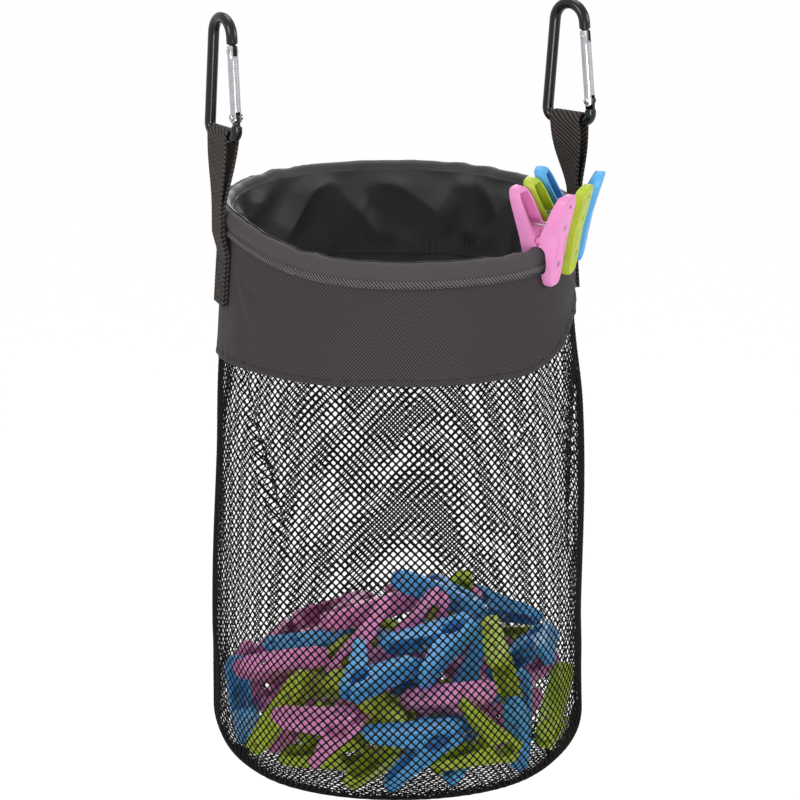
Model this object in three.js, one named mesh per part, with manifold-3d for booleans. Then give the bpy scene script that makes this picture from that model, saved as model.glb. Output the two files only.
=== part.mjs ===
// Hanging peg bag: a net bag on a hooped cloth collar, two webbing loops with spring-gate hooks,
// and clothes pegs.
// Millimetres, +Z up. The origin lies midway between the two hooks, level with the underside of their crowns,
// where the line that carries them passes. +X points to the right hook and -Y to the front.

import * as THREE from "three";
import { mergeVertices } from "three/addons/utils/BufferGeometryUtils.js";
import Module from "manifold-3d";

const wasm = await Module();
wasm.setup();

// Clearance between pieces that touch, and the closer one round a pin that turns.
const FIT = 0.3;
const PIN_FIT = 0.15;

// Hooks: a bar bent to a rounded wedge, wider at the foot, closed by a round gate.
const HOOK_LENGTH = 85;
const HOOK_WIDTH = 44;
const HOOK_BAR = 7.5;
const CROWN_RADIUS = 12.5;
const FOOT_RADIUS = 6;
const NOSE_LENGTH = 5;
const HEEL_LENGTH = 2;
const PLATE_THICKNESS = 2.6;
const TONGUE_LENGTH = 7.6;
const TONGUE_WIDTH = 4.5;
const LATCH_PIN = 2;
const LATCH_HEAD = 2.8;
const LATCH_HEAD_THICKNESS = 0.5;
const LATCH_DEPTH = 4.3;
const GATE_DIAMETER = 7;
const GATE_GAP = 0.5;
const RIVET_DIAMETER = 2.8;
const RIVET_HEAD = 4.6;
const RIVET_HEAD_THICKNESS = 0.9;
const RIVET_ABOVE_HEEL = 5.6;
const TANG_RADIUS = 3.2;
const EAR_LENGTH = 3.6;
const PLUNGER_DIAMETER = 2.6;
const PLUNGER_LENGTH = 6;
const GATE_SPRING_LENGTH = 11;
const GATE_SPRING_TURNS = 5;
const GATE_SPRING_WIRE = 0.45;

// Webbing loops: one strap each, folded over the hook's foot, both ends stacked on the outside of the band.
const WEBBING_WIDTH = 25;
const WEBBING_THICKNESS = 1.6;
const STRAP_REACH = 54;
const STRAP_SEWN_LENGTH = 58;
const LEFT_TWIST = THREE.MathUtils.degToRad(15);
const RIGHT_TWIST = THREE.MathUtils.degToRad(34);

// Rim: a wire hoop in a folded cloth lip, which a twill tape finishes below.
const HOOP_RADIUS = 115;
const HOOP_WIRE = 3.2;
const HOOP_SIDES = 5;
const FERRULE_LENGTH = 22;
const FERRULE_WALL = 0.6;
const LIP_CLOTH = 1.2;
const LIP_PINCH_DEPTH = 6.5;
const LIP_DEPTH = 9;
const TAPE_WIDTH = 5;
const TAPE_THICKNESS = 0.7;
const FRONT_DIP = 19;
const BACK_RISE = 6;

// Bag: band, lining and net share one flank, which swells from the rim to the belly.
const BAND_CLOTH = 1;
const BAND_HEIGHT = 95;
const LINING_CLOTH = 0.8;
const LINING_HEIGHT = 50;
const LINING_ABOVE_NET = 3;
const HEM_RISE = 34;
const HEM_RISE_SPREAD = THREE.MathUtils.degToRad(26);
const BELLY_RADIUS = 125;
const BELLY_DEPTH = 250;
const BAG_DEPTH = 384;
const NET_THICKNESS = 1.2;
const NET_TUCK = 10;
const CORNER_RADIUS = 45;
const TURN_STEP = THREE.MathUtils.degToRad(15);
const WALL_TURN_STEPS = 4;
const BASE_TURN_STEPS = 3;
const SEAM_WIDTH = 9;
const SEAM_THICKNESS = 1.5;
const SEAM_ANGLE = THREE.MathUtils.degToRad(-11);

// Pegs: two hollow plastic jaws about one fulcrum. Positions along a jaw count up from the fulcrum.
const PEG_WIDTH = 15;
const PEG_WALL = 1.8;
const PEG_EDGE = 0.8;
const PEG_SHOULDER = 14.5;
const JAW_LENGTH = 32;
const JAW_TIP_DEPTH = 6;
const HANDLE_LENGTH = 31.5;
const HANDLE_SPREAD = THREE.MathUtils.degToRad(20);
const HANDLE_DEPTH = 7;
const JAW_GAP = 0.4;
const NOTCH_BELOW = 9;
const NOTCH_RADIUS = 5.4;
const NOTCH_FOOT = 22.5;
const POCKET_FLOOR = 6;
const POCKET_TOP = 28;
const FULCRUM_BOSS = 2.2;
const HANDLE_HOLE = 3;
const HANDLE_HOLE_UP = 23.5;
const WIRE = 1;
const WIRE_SPACING = 1.6;
const WIRE_CROSSING = 5.2;
const WIRE_LEG = 17;
const WIRE_UP = 8.6;
const GROOVE_DEPTH = 1.6;
const GROOVE_WIDTH = 3.2;
const SPOON_RADIUS = 9;
const SPOON_DEPTH = 1.2;
const SPOON_BELOW = 25;
const PEG_LEAN = THREE.MathUtils.degToRad(6);
const PEG_GRIP_GAP = 0.8;
const RIM_PEGS = [
  { name: "pink", angle: THREE.MathUtils.degToRad(-50) },
  { name: "green", angle: THREE.MathUtils.degToRad(-39) },
  { name: "blue", angle: THREE.MathUtils.degToRad(-28) },
];

// Heap: loose pegs settled one after another in the bottom of the net, under a mound that falls to the wall.
const HEAP_PEGS = 28;
const HEAP_HEIGHT = 118;
const HEAP_EDGE_HEIGHT = 84;
const HEAP_TRIES = 2500;
const HEAP_CHOICE = 4;
const HEAP_SEED = 7;
const HEAP_CUBE = 2;
const ROOM_CUBES = 1000;

const RING_STEPS = 48;

// Levels that follow from the sizes above.
const BAR_Z = -(HOOK_LENGTH - 1.5 * HOOK_BAR);
const RIM_Z = BAR_Z - STRAP_REACH;
const HEM_Z = RIM_Z - BAND_HEIGHT;
const BELLY_Z = RIM_Z - BELLY_DEPTH;
const BASE_Z = RIM_Z - BAG_DEPTH;
const FERRULE_BORE = HOOP_WIRE + 4 * FIT;
const FERRULE_OUTER = FERRULE_BORE + 2 * FERRULE_WALL;
const LIP_INNER = FERRULE_OUTER / 2 + 2 * FIT;
const LIP_OUTER = LIP_INNER + LIP_CLOTH;
const LEG_INNER = BAND_CLOTH / 2 + FIT;
const LEG_OUTER = LEG_INNER + LIP_CLOTH;
const TAPE_INNER = LEG_OUTER + FIT;
const TAPE_OUTER = TAPE_INNER + TAPE_THICKNESS;
const TAPE_TOP = LIP_PINCH_DEPTH + FIT;

const COLOURS = {
  twill: { color: 0x4b474b, roughness: 0.9, metalness: 0 },
  satin: { color: 0x1c1a1d, roughness: 0.55, metalness: 0 },
  lip: { color: 0x242225, roughness: 0.8, metalness: 0 },
  net: { color: 0x171618, roughness: 0.85, metalness: 0 },
  webbing: { color: 0x1e1b1a, roughness: 0.85, metalness: 0 },
  enamel: { color: 0x101012, roughness: 0.25, metalness: 0.2 },
  steel: { color: 0xb9bcc0, roughness: 0.25, metalness: 1 },
  pink: { color: 0xe58fc6, roughness: 0.4, metalness: 0 },
  green: { color: 0xa8bd32, roughness: 0.4, metalness: 0 },
  blue: { color: 0x559fd8, roughness: 0.4, metalness: 0 },
};

const bag = new THREE.Group();
bag.name = "peg_bag";

function piece(name, geometry, colour) {
  const mesh = new THREE.Mesh(geometry, new THREE.MeshStandardMaterial(COLOURS[colour]));
  mesh.name = name;
  return mesh;
}

// A closed mesh with its corners merged, as a solid that can be joined, cut and measured.
function solidOf(geometry) {
  const bare = geometry.clone();
  bare.deleteAttribute("normal");
  bare.deleteAttribute("uv");
  const merged = mergeVertices(bare, 1e-4);
  const triVerts = new Uint32Array(merged.index.array);
  const vertProperties = merged.attributes.position.array;
  return new wasm.Manifold(new wasm.Mesh({ numProp: 3, vertProperties, triVerts }));
}

function geometryOf(solid) {
  const mesh = solid.getMesh();
  const geometry = new THREE.BufferGeometry();
  geometry.setAttribute("position", new THREE.BufferAttribute(mesh.vertProperties, 3));
  geometry.setIndex(new THREE.BufferAttribute(mesh.triVerts, 1));
  return geometry;
}

// A ring about the Z axis whose closed section may change with the angle.
// The section is a list of [radius, height] pairs that runs anticlockwise.
function ringOf(sectionAt) {
  const positions = [];
  const index = [];
  for (let step = 0; step < RING_STEPS; step++) {
    const angle = (2 * Math.PI * step) / RING_STEPS;
    for (const [radius, height] of sectionAt(angle)) {
      positions.push(radius * Math.cos(angle), radius * Math.sin(angle), height);
    }
  }
  const count = positions.length / 3 / RING_STEPS;
  for (let step = 0; step < RING_STEPS; step++) {
    const next = (step + 1) % RING_STEPS;
    for (let point = 0; point < count; point++) {
      const after = (point + 1) % count;
      const [a, b] = [step * count + point, next * count + point];
      const [c, d] = [next * count + after, step * count + after];
      index.push(a, b, c, a, c, d);
    }
  }
  const geometry = new THREE.BufferGeometry();
  geometry.setAttribute("position", new THREE.Float32BufferAttribute(positions, 3));
  geometry.setIndex(index);
  return geometry;
}

// A flat outline given a thickness, centred on its plane. The outline's own x and y become x and z.
function plateOf(shape, thickness, bevel = 0) {
  const geometry = new THREE.ExtrudeGeometry(shape, {
    depth: thickness - 2 * bevel,
    curveSegments: 4,
    bevelEnabled: bevel > 0,
    bevelThickness: bevel,
    bevelSize: bevel,
    bevelOffset: -bevel,
    bevelSegments: 1,
  });
  geometry.translate(0, 0, bevel - thickness / 2);
  geometry.rotateX(Math.PI / 2);
  return geometry;
}

// A round wire along a curve.
function wireOf(curve, diameter, steps, sides) {
  const section = new THREE.Shape();
  for (let side = 0; side < sides; side++) {
    const angle = (2 * Math.PI * side) / sides;
    const corner = [(diameter / 2) * Math.cos(angle), (diameter / 2) * Math.sin(angle)];
    if (side === 0) section.moveTo(...corner);
    else section.lineTo(...corner);
  }
  return new THREE.ExtrudeGeometry(section, { steps, extrudePath: curve, bevelEnabled: false });
}

// A cylinder along Y, such as a pin across a hook or a peg.
function crossPin(diameter, length, sides) {
  return new THREE.CylinderGeometry(diameter / 2, diameter / 2, length, sides);
}

// A cylinder along Z whose foot lies at z = 0.
function post(diameter, length, sides) {
  return new THREE.CylinderGeometry(diameter / 2, diameter / 2, length, sides)
    .rotateX(Math.PI / 2)
    .translate(0, 0, length / 2);
}

// The least gap between two stretches of one wire that are more than the given distance apart along it.
function leastSelfGap(curve, diameter, apart) {
  const points = curve.getSpacedPoints(400);
  const skip = Math.ceil((apart / curve.getLength()) * points.length);
  let least = Infinity;
  for (let first = 0; first < points.length; first++) {
    for (let second = first + skip; second < points.length; second++) {
      least = Math.min(least, points[first].distanceTo(points[second]));
    }
  }
  return least - diameter;
}

// Rim height round the bag: between the two straps it sags broadly at the front and rises at the back.
function rimHeight(angle) {
  const forward = -Math.sin(angle);
  const dip = forward > 0 ? FRONT_DIP : -BACK_RISE;
  return RIM_Z - dip * Math.sin((forward * Math.PI) / 2) ** 2;
}

// The band's lower edge, which the right strap draws up.
function hemHeight(angle) {
  const turn = Math.atan2(Math.sin(angle), Math.cos(angle)) / HEM_RISE_SPREAD;
  return HEM_Z + HEM_RISE * Math.exp(-turn * turn);
}

// The flank's radius: the hoop's down to the end of the lip, then swelling to the belly.
function flankRadius(angle, height) {
  const top = rimHeight(angle) - LIP_DEPTH;
  const share = THREE.MathUtils.clamp((top - height) / (top - BELLY_Z), 0, 1);
  return HOOP_RADIUS + (BELLY_RADIUS - HOOP_RADIUS) * Math.sin((share * Math.PI) / 2);
}

// A layer of the flank between two heights, its face set off from the flank by the given distances.
function flankSection(angle, top, bottom, inner, outer, levels) {
  const outside = [];
  const inside = [];
  for (let level = 0; level <= levels; level++) {
    const height = bottom + ((top - bottom) * level) / levels;
    const radius = flankRadius(angle, height);
    outside.push([radius + outer, height]);
    inside.unshift([radius + inner, height]);
  }
  return [...outside, ...inside];
}

function arcPoints(centre, radius, from, to, steps) {
  const points = [];
  for (let step = 0; step <= steps; step++) {
    const angle = from + ((to - from) * step) / steps;
    points.push([centre[0] + radius * Math.cos(angle), centre[1] + radius * Math.sin(angle)]);
  }
  return points;
}

// The wire hoop, its ends held by a ferrule at the back.
class HoopLine extends THREE.Curve {
  constructor(start, turn) {
    super();
    this.start = start;
    this.turn = turn;
  }
  getPoint(share) {
    const angle = this.start + this.turn * share;
    return new THREE.Vector3(HOOP_RADIUS * Math.cos(angle), HOOP_RADIUS * Math.sin(angle), rimHeight(angle));
  }
}

function rimHoop() {
  const last = HOOP_SIDES - 1;
  const turn = (2 * Math.PI * last) / HOOP_SIDES;
  return ringOf((angle) => arcPoints([HOOP_RADIUS, rimHeight(angle)], HOOP_WIRE / 2, 0, turn, last));
}

function hoopFerrule() {
  const turn = FERRULE_LENGTH / HOOP_RADIUS;
  const line = new HoopLine(Math.PI / 2 - turn / 2, turn);
  const bore = new HoopLine(Math.PI / 2 - turn, 2 * turn);
  const tube = solidOf(wireOf(line, FERRULE_OUTER, 4, 10));
  return geometryOf(tube.subtract(solidOf(wireOf(bore, FERRULE_BORE, 8, 10))));
}

// The lip: one cloth folded over the hoop, its two legs brought together on the band.
function rimLip() {
  const legs = (side, face, depth, centre) => [HOOP_RADIUS + side * face, centre - depth];
  return ringOf((angle) => {
    const centre = rimHeight(angle);
    return [
      legs(1, LEG_OUTER, LIP_DEPTH, centre),
      legs(1, LEG_OUTER, LIP_PINCH_DEPTH, centre),
      ...arcPoints([HOOP_RADIUS, centre], LIP_OUTER, 0, Math.PI, 4),
      legs(-1, LEG_OUTER, LIP_PINCH_DEPTH, centre),
      legs(-1, LEG_OUTER, LIP_DEPTH, centre),
      legs(-1, LEG_INNER, LIP_DEPTH, centre),
      legs(-1, LEG_INNER, LIP_PINCH_DEPTH, centre),
      ...arcPoints([HOOP_RADIUS, centre], LIP_INNER, Math.PI, 0, 3),
      legs(1, LEG_INNER, LIP_PINCH_DEPTH, centre),
      legs(1, LEG_INNER, LIP_DEPTH, centre),
    ];
  });
}

function twillTape() {
  return ringOf((angle) => {
    const top = rimHeight(angle) - TAPE_TOP;
    return [
      [HOOP_RADIUS + TAPE_OUTER, top - TAPE_WIDTH],
      [HOOP_RADIUS + TAPE_OUTER, top],
      [HOOP_RADIUS + TAPE_INNER, top],
      [HOOP_RADIUS + TAPE_INNER, top - TAPE_WIDTH],
    ];
  });
}

function band() {
  return ringOf((angle) => {
    const top = rimHeight(angle) - LIP_PINCH_DEPTH;
    return flankSection(angle, top, hemHeight(angle), -BAND_CLOTH / 2, BAND_CLOTH / 2, 2);
  });
}

// The lining ends above the net where the hem is drawn up.
function lining() {
  const outer = -(BAND_CLOTH / 2 + FIT);
  return ringOf((angle) => {
    const top = rimHeight(angle) - LIP_DEPTH - FIT;
    const bottom = Math.max(top - LINING_HEIGHT, hemHeight(angle) + NET_TUCK + LINING_ABOVE_NET);
    return flankSection(angle, top, bottom, outer - LINING_CLOTH, outer, 2);
  });
}

// The net wall starts inside the band's hem and turns under at the foot.
const NET_OUTER = -(BAND_CLOTH / 2 + FIT);
const NET_INNER = NET_OUTER - NET_THICKNESS;
const NET_LEVELS = 4;
const CORNER_CENTRE = [BELLY_RADIUS - CORNER_RADIUS, BASE_Z + CORNER_RADIUS];

function netWall() {
  const turn = WALL_TURN_STEPS * TURN_STEP;
  return ringOf((angle) => {
    const top = hemHeight(angle) + NET_TUCK;
    const flank = flankSection(angle, top, CORNER_CENTRE[1], NET_INNER, NET_OUTER, NET_LEVELS);
    const under = arcPoints(CORNER_CENTRE, CORNER_RADIUS + NET_OUTER, -turn, 0, WALL_TURN_STEPS);
    const back = arcPoints(CORNER_CENTRE, CORNER_RADIUS + NET_INNER, 0, -turn, WALL_TURN_STEPS);
    return [...under.slice(0, -1), ...flank, ...back.slice(1)];
  });
}

// The base: a dish whose edge lies inside the turned wall.
function netBase() {
  const outer = CORNER_RADIUS + NET_INNER - FIT;
  const start = BASE_TURN_STEPS * TURN_STEP - Math.PI / 2;
  const outside = arcPoints(CORNER_CENTRE, outer, -Math.PI / 2, start, BASE_TURN_STEPS);
  const inside = arcPoints(CORNER_CENTRE, outer - NET_THICKNESS, start, -Math.PI / 2, BASE_TURN_STEPS);
  const foot = outside[0][1];
  const profile = [[0, foot], ...outside, ...inside, [0, foot + NET_THICKNESS]];
  const points = profile.map(([radius, height]) => new THREE.Vector2(radius, height));
  return new THREE.LatheGeometry(points, RING_STEPS).rotateX(Math.PI / 2);
}

// The side seam: the net's two edges turned in and sewn together, one strip on the inside of the wall.
function sideSeam() {
  const outer = NET_INNER - 2 * FIT;
  const top = hemHeight(SEAM_ANGLE) + NET_TUCK;
  const section = flankSection(SEAM_ANGLE, top, CORNER_CENTRE[1], outer - SEAM_THICKNESS, outer, NET_LEVELS);
  const outline = new THREE.Shape(section.map(([radius, height]) => new THREE.Vector2(radius, height)));
  return plateOf(outline, SEAM_WIDTH).rotateZ(SEAM_ANGLE);
}

// The strap's line down the side of the bag: over the lip and the tape, then on the band.
const LOOP_STEPS = 8;
const RISER_STEPS = 6;
const LOOP_INNER = HOOK_BAR / 2 + FIT;
const LOOP_OUTER = LOOP_INNER + WEBBING_THICKNESS;
const STRAP_OVER_LIP = HOOP_RADIUS + LIP_OUTER + FIT;
const STRAP_PITCH = WEBBING_THICKNESS + FIT;
const HOOK_X = STRAP_OVER_LIP + STRAP_PITCH - LOOP_INNER;
const STRAP_END_Z = RIM_Z - STRAP_SEWN_LENGTH;

// One face of the strap from its sewn end up to the hook, at a distance from the bag and one from the
// hook's foot.
function strapFace(fromBag, atHook) {
  const below = TAPE_TOP + TAPE_WIDTH;
  const landing = RIM_Z - 2 * below;
  const middle = (landing + STRAP_END_Z) / 2;
  const onBand = (height) => flankRadius(0, height) + BAND_CLOTH / 2 + FIT + fromBag;
  const lipTop = [STRAP_OVER_LIP + fromBag, RIM_Z + LIP_OUTER];
  const face = [STRAP_END_Z, middle, landing].map((height) => [onBand(height), height]);
  face.push([STRAP_OVER_LIP + fromBag, RIM_Z - below]);
  for (let step = 0; step < RISER_STEPS; step++) {
    const share = step / RISER_STEPS;
    const x = lipTop[0] + (HOOK_X + atHook - lipTop[0]) * share;
    face.push([x, lipTop[1] + (BAR_Z - lipTop[1]) * share]);
  }
  return face;
}

function strap(twist) {
  const centre = [HOOK_X, BAR_Z];
  const outline = [
    ...strapFace(0, -LOOP_OUTER),
    ...arcPoints(centre, LOOP_OUTER, Math.PI, 0, LOOP_STEPS),
    ...strapFace(STRAP_PITCH + WEBBING_THICKNESS, LOOP_OUTER).reverse(),
    ...strapFace(STRAP_PITCH, LOOP_INNER),
    ...arcPoints(centre, LOOP_INNER, 0, Math.PI, LOOP_STEPS),
    ...strapFace(WEBBING_THICKNESS, -LOOP_INNER).reverse(),
  ];
  const shape = new THREE.Shape(outline.map(([x, z]) => new THREE.Vector2(x, z)));
  const geometry = new THREE.ExtrudeGeometry(shape, { depth: WEBBING_WIDTH, steps: 2, bevelEnabled: false });
  geometry.translate(0, 0, -WEBBING_WIDTH / 2).rotateX(Math.PI / 2);
  return twisted(geometry, twist);
}

// The free part of the strap turns about its own upright line, from nothing at the lip to the hook's turn.
function twisted(geometry, twist) {
  const position = geometry.attributes.position;
  const point = new THREE.Vector3();
  const upright = new THREE.Vector3(0, 0, 1);
  const centre = new THREE.Vector3(HOOK_X, 0, 0);
  for (let index = 0; index < position.count; index++) {
    point.fromBufferAttribute(position, index);
    const share = THREE.MathUtils.smoothstep(point.z, RIM_Z + LIP_OUTER, BAR_Z - LOOP_OUTER);
    point.sub(centre).applyAxisAngle(upright, twist * share).add(centre);
    position.setXYZ(index, point.x, point.y, point.z);
  }
  return geometry;
}

// The hook's centre line is the tightest loop round three circles: the crown and the two corners of the foot.
// Its own frame has the foot's middle at the origin, the gate towards -Y and the crown upwards.
const HOOK_HALF = (HOOK_WIDTH - HOOK_BAR) / 2;
const FOOT_Y = HOOK_HALF - FOOT_RADIUS;
const CROWN_Z = HOOK_LENGTH - HOOK_BAR - CROWN_RADIUS;
const SIDE_RUN = Math.hypot(FOOT_Y, CROWN_Z - FOOT_RADIUS);
const SIDE_LEAN =
  Math.acos((FOOT_RADIUS - CROWN_RADIUS) / SIDE_RUN) - Math.atan2(CROWN_Z - FOOT_RADIUS, -FOOT_Y);
const SIDE_LENGTH = Math.sqrt(SIDE_RUN ** 2 - (CROWN_RADIUS - FOOT_RADIUS) ** 2);
const NOSE_UP = SIDE_LENGTH - NOSE_LENGTH - HEEL_LENGTH - RIVET_ABOVE_HEEL;
const GATE_TOP = NOSE_UP - GATE_GAP;
const SLOT_WIDTH = PLATE_THICKNESS + 2 * FIT;
const TANG_SLOT_TOP = TANG_RADIUS + 2 * FIT;
const PLUNGER_FOOT = TANG_RADIUS + FIT;
const SPRING_FOOT = PLUNGER_FOOT + PLUNGER_LENGTH + FIT;
const BORE_TOP = SPRING_FOOT + GATE_SPRING_LENGTH + FIT;

// The bar's line from the nose over the crown, down the spine and along the foot to the heel.
class HookLine extends THREE.Curve {
  constructor() {
    super();
    const lean = -SIDE_LEAN;
    const side = new THREE.Vector2(Math.cos(lean), Math.sin(lean));
    const along = new THREE.Vector2(side.y, -side.x);
    const heel = new THREE.Vector2(FOOT_Y, FOOT_RADIUS).addScaledVector(side, FOOT_RADIUS);
    const shoulder = new THREE.Vector2(0, CROWN_Z).addScaledVector(side, CROWN_RADIUS);
    this.path = new THREE.Path();
    this.path.moveTo(shoulder.x + along.x * NOSE_LENGTH, shoulder.y + along.y * NOSE_LENGTH);
    this.path.lineTo(shoulder.x, shoulder.y);
    this.path.absarc(0, CROWN_Z, CROWN_RADIUS, lean, Math.PI - lean, false);
    this.path.absarc(-FOOT_Y, FOOT_RADIUS, FOOT_RADIUS, Math.PI - lean, 1.5 * Math.PI, false);
    this.path.absarc(FOOT_Y, FOOT_RADIUS, FOOT_RADIUS, -Math.PI / 2, lean, false);
    this.path.lineTo(heel.x - along.x * HEEL_LENGTH, heel.y - along.y * HEEL_LENGTH);
  }
  getPoint(share) {
    const point = this.path.getPoint(share);
    return new THREE.Vector3(0, -point.x, point.y);
  }
}

// The rivet's place on the hook, and the turn that sets the gate's own upright along the hook's open side.
function gateFrame() {
  const frame = new THREE.Object3D();
  const up = RIVET_ABOVE_HEEL + HEEL_LENGTH;
  const lean = -SIDE_LEAN;
  const y = FOOT_Y + FOOT_RADIUS * Math.cos(lean) - up * Math.sin(lean);
  frame.position.set(0, -y, FOOT_RADIUS + FOOT_RADIUS * Math.sin(lean) + up * Math.cos(lean));
  frame.rotation.x = SIDE_LEAN;
  frame.updateMatrix();
  return frame;
}

// A plate in the hook's plane, from an outline of [y, z] pairs.
function hookPlate(shape, thickness) {
  return plateOf(shape, thickness).rotateZ(Math.PI / 2);
}

function boxBetween(x, y, z) {
  const box = new THREE.BoxGeometry(x[1] - x[0], y[1] - y[0], z[1] - z[0]);
  return box.translate((x[0] + x[1]) / 2, (y[0] + y[1]) / 2, (z[0] + z[1]) / 2);
}

// The nose's tongue, with a notch that the latch pin enters from inside the hook.
function tongue() {
  const half = TONGUE_WIDTH / 2;
  const foot = NOSE_UP - TONGUE_LENGTH;
  const root = NOSE_UP + TONGUE_LENGTH / 4;
  const notch = LATCH_PIN / 2 + FIT;
  const level = NOSE_UP - LATCH_DEPTH;
  const shape = new THREE.Shape();
  shape.moveTo(-half, root);
  shape.lineTo(-half, foot);
  shape.lineTo(half, foot);
  shape.lineTo(half, level - notch);
  shape.absarc(0, level, notch, -Math.PI / 2, -1.5 * Math.PI, true);
  shape.lineTo(half, level + notch);
  shape.lineTo(half, root);
  return hookPlate(shape, PLATE_THICKNESS);
}

// The heel's tang, round about the rivet.
function tang() {
  const shape = new THREE.Shape();
  shape.moveTo(-TANG_RADIUS, -RIVET_ABOVE_HEEL - HEEL_LENGTH);
  shape.lineTo(TANG_RADIUS, -RIVET_ABOVE_HEEL - HEEL_LENGTH);
  shape.absarc(0, 0, TANG_RADIUS, 0, Math.PI, false);
  return hookPlate(shape, PLATE_THICKNESS);
}

function acrossHook(diameter, length) {
  return crossPin(diameter, length, 12).rotateZ(Math.PI / 2);
}

function hookBody(frame) {
  const bar = solidOf(wireOf(new HookLine(), HOOK_BAR, 48, 8));
  const plates = [tongue(), tang()].map((geometry) => solidOf(geometry.applyMatrix4(frame.matrix)));
  const hole = solidOf(acrossHook(RIVET_DIAMETER + 2 * PIN_FIT, HOOK_BAR).applyMatrix4(frame.matrix));
  return geometryOf(bar.add(plates[0]).add(plates[1]).subtract(hole));
}

function gate() {
  const reach = [-GATE_DIAMETER, GATE_DIAMETER];
  const slot = [-SLOT_WIDTH / 2, SLOT_WIDTH / 2];
  const tongueSlot = boxBetween(slot, reach, [NOSE_UP - TONGUE_LENGTH - 2 * FIT, NOSE_UP]);
  const tangSlot = boxBetween(slot, reach, [-2 * EAR_LENGTH, TANG_SLOT_TOP]);
  const bore = post(PLUNGER_DIAMETER + 2 * FIT, BORE_TOP, 10);
  const rivetHole = acrossHook(RIVET_DIAMETER + 2 * PIN_FIT, 2 * GATE_DIAMETER);
  const latchHole = acrossHook(LATCH_PIN + 2 * PIN_FIT, 2 * GATE_DIAMETER);
  latchHole.translate(0, 0, NOSE_UP - LATCH_DEPTH);
  let rod = solidOf(post(GATE_DIAMETER, GATE_TOP + EAR_LENGTH, 14).translate(0, 0, -EAR_LENGTH));
  for (const cut of [tongueSlot, tangSlot, bore, rivetHole, latchHole]) {
    rod = rod.subtract(solidOf(cut));
  }
  return geometryOf(rod);
}

// A pin across the hook with a head at each end, outside the gate.
function headedPin(diameter, head, headThickness) {
  const inner = GATE_DIAMETER / 2 + PIN_FIT;
  const outer = inner + headThickness;
  const foot = [[0, -outer], [head / 2, -outer], [head / 2, -inner], [diameter / 2, -inner]];
  const top = foot.map(([radius, along]) => [radius, -along]).reverse();
  const points = [...foot, ...top].map(([radius, along]) => new THREE.Vector2(radius, along));
  return new THREE.LatheGeometry(points, 12).rotateZ(Math.PI / 2);
}

function plunger() {
  const radius = PLUNGER_DIAMETER / 2;
  const top = PLUNGER_LENGTH;
  const profile = [[0, 0], [radius / 2, 0], [radius, radius / 2], [radius, top], [0, top]];
  const points = profile.map(([r, along]) => new THREE.Vector2(r, along + PLUNGER_FOOT));
  return new THREE.LatheGeometry(points, 10).rotateX(Math.PI / 2);
}

class GateCoil extends THREE.Curve {
  getPoint(share) {
    const radius = (PLUNGER_DIAMETER - GATE_SPRING_WIRE) / 2;
    const turn = 2 * Math.PI * GATE_SPRING_TURNS * share;
    const rise = SPRING_FOOT + GATE_SPRING_WIRE + (GATE_SPRING_LENGTH - 2 * GATE_SPRING_WIRE) * share;
    return new THREE.Vector3(radius * Math.cos(turn), radius * Math.sin(turn), rise);
  }
}

function addHook(side, x, twist) {
  const hook = new THREE.Group();
  hook.position.set(x, 0, BAR_Z);
  hook.rotation.z = twist;
  const frame = gateFrame();
  const gateGroup = new THREE.Group();
  gateGroup.position.copy(frame.position);
  gateGroup.rotation.copy(frame.rotation);
  const crossPinShape = headedPin(LATCH_PIN, LATCH_HEAD, LATCH_HEAD_THICKNESS);
  const latchPin = piece(`${side}_latch_pin`, crossPinShape, "steel");
  latchPin.position.z = NOSE_UP - LATCH_DEPTH;
  const coil = new GateCoil();
  hook.add(piece(`${side}_carabiner_body`, hookBody(frame), "enamel"));
  gateGroup.add(piece(`${side}_gate`, gate(), "steel"));
  const rivetShape = headedPin(RIVET_DIAMETER, RIVET_HEAD, RIVET_HEAD_THICKNESS);
  gateGroup.add(piece(`${side}_gate_rivet`, rivetShape, "steel"));
  gateGroup.add(latchPin);
  gateGroup.add(piece(`${side}_gate_plunger`, plunger(), "steel"));
  const coilSteps = 8 * GATE_SPRING_TURNS;
  gateGroup.add(piece(`${side}_gate_spring`, wireOf(coil, GATE_SPRING_WIRE, coilSteps, 4), "steel"));
  hook.add(gateGroup);
  bag.add(hook);
  const gap = leastSelfGap(coil, GATE_SPRING_WIRE, 3).toFixed(2);
  console.log(`${side} gate spring: least gap to itself ${gap} mm`);
}

// A peg's own frame has the fulcrum at the origin, the handles upwards, the outer jaw towards +X and the
// width along Y.
function outerFace(up) {
  if (up >= 0) return PEG_SHOULDER + up * Math.tan(HANDLE_SPREAD);
  return PEG_SHOULDER + ((PEG_SHOULDER - JAW_TIP_DEPTH) * up) / JAW_LENGTH;
}

function innerFace(up) {
  const top = outerFace(HANDLE_LENGTH) - HANDLE_DEPTH;
  return JAW_GAP + ((top - JAW_GAP) * up) / HANDLE_LENGTH;
}

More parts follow.
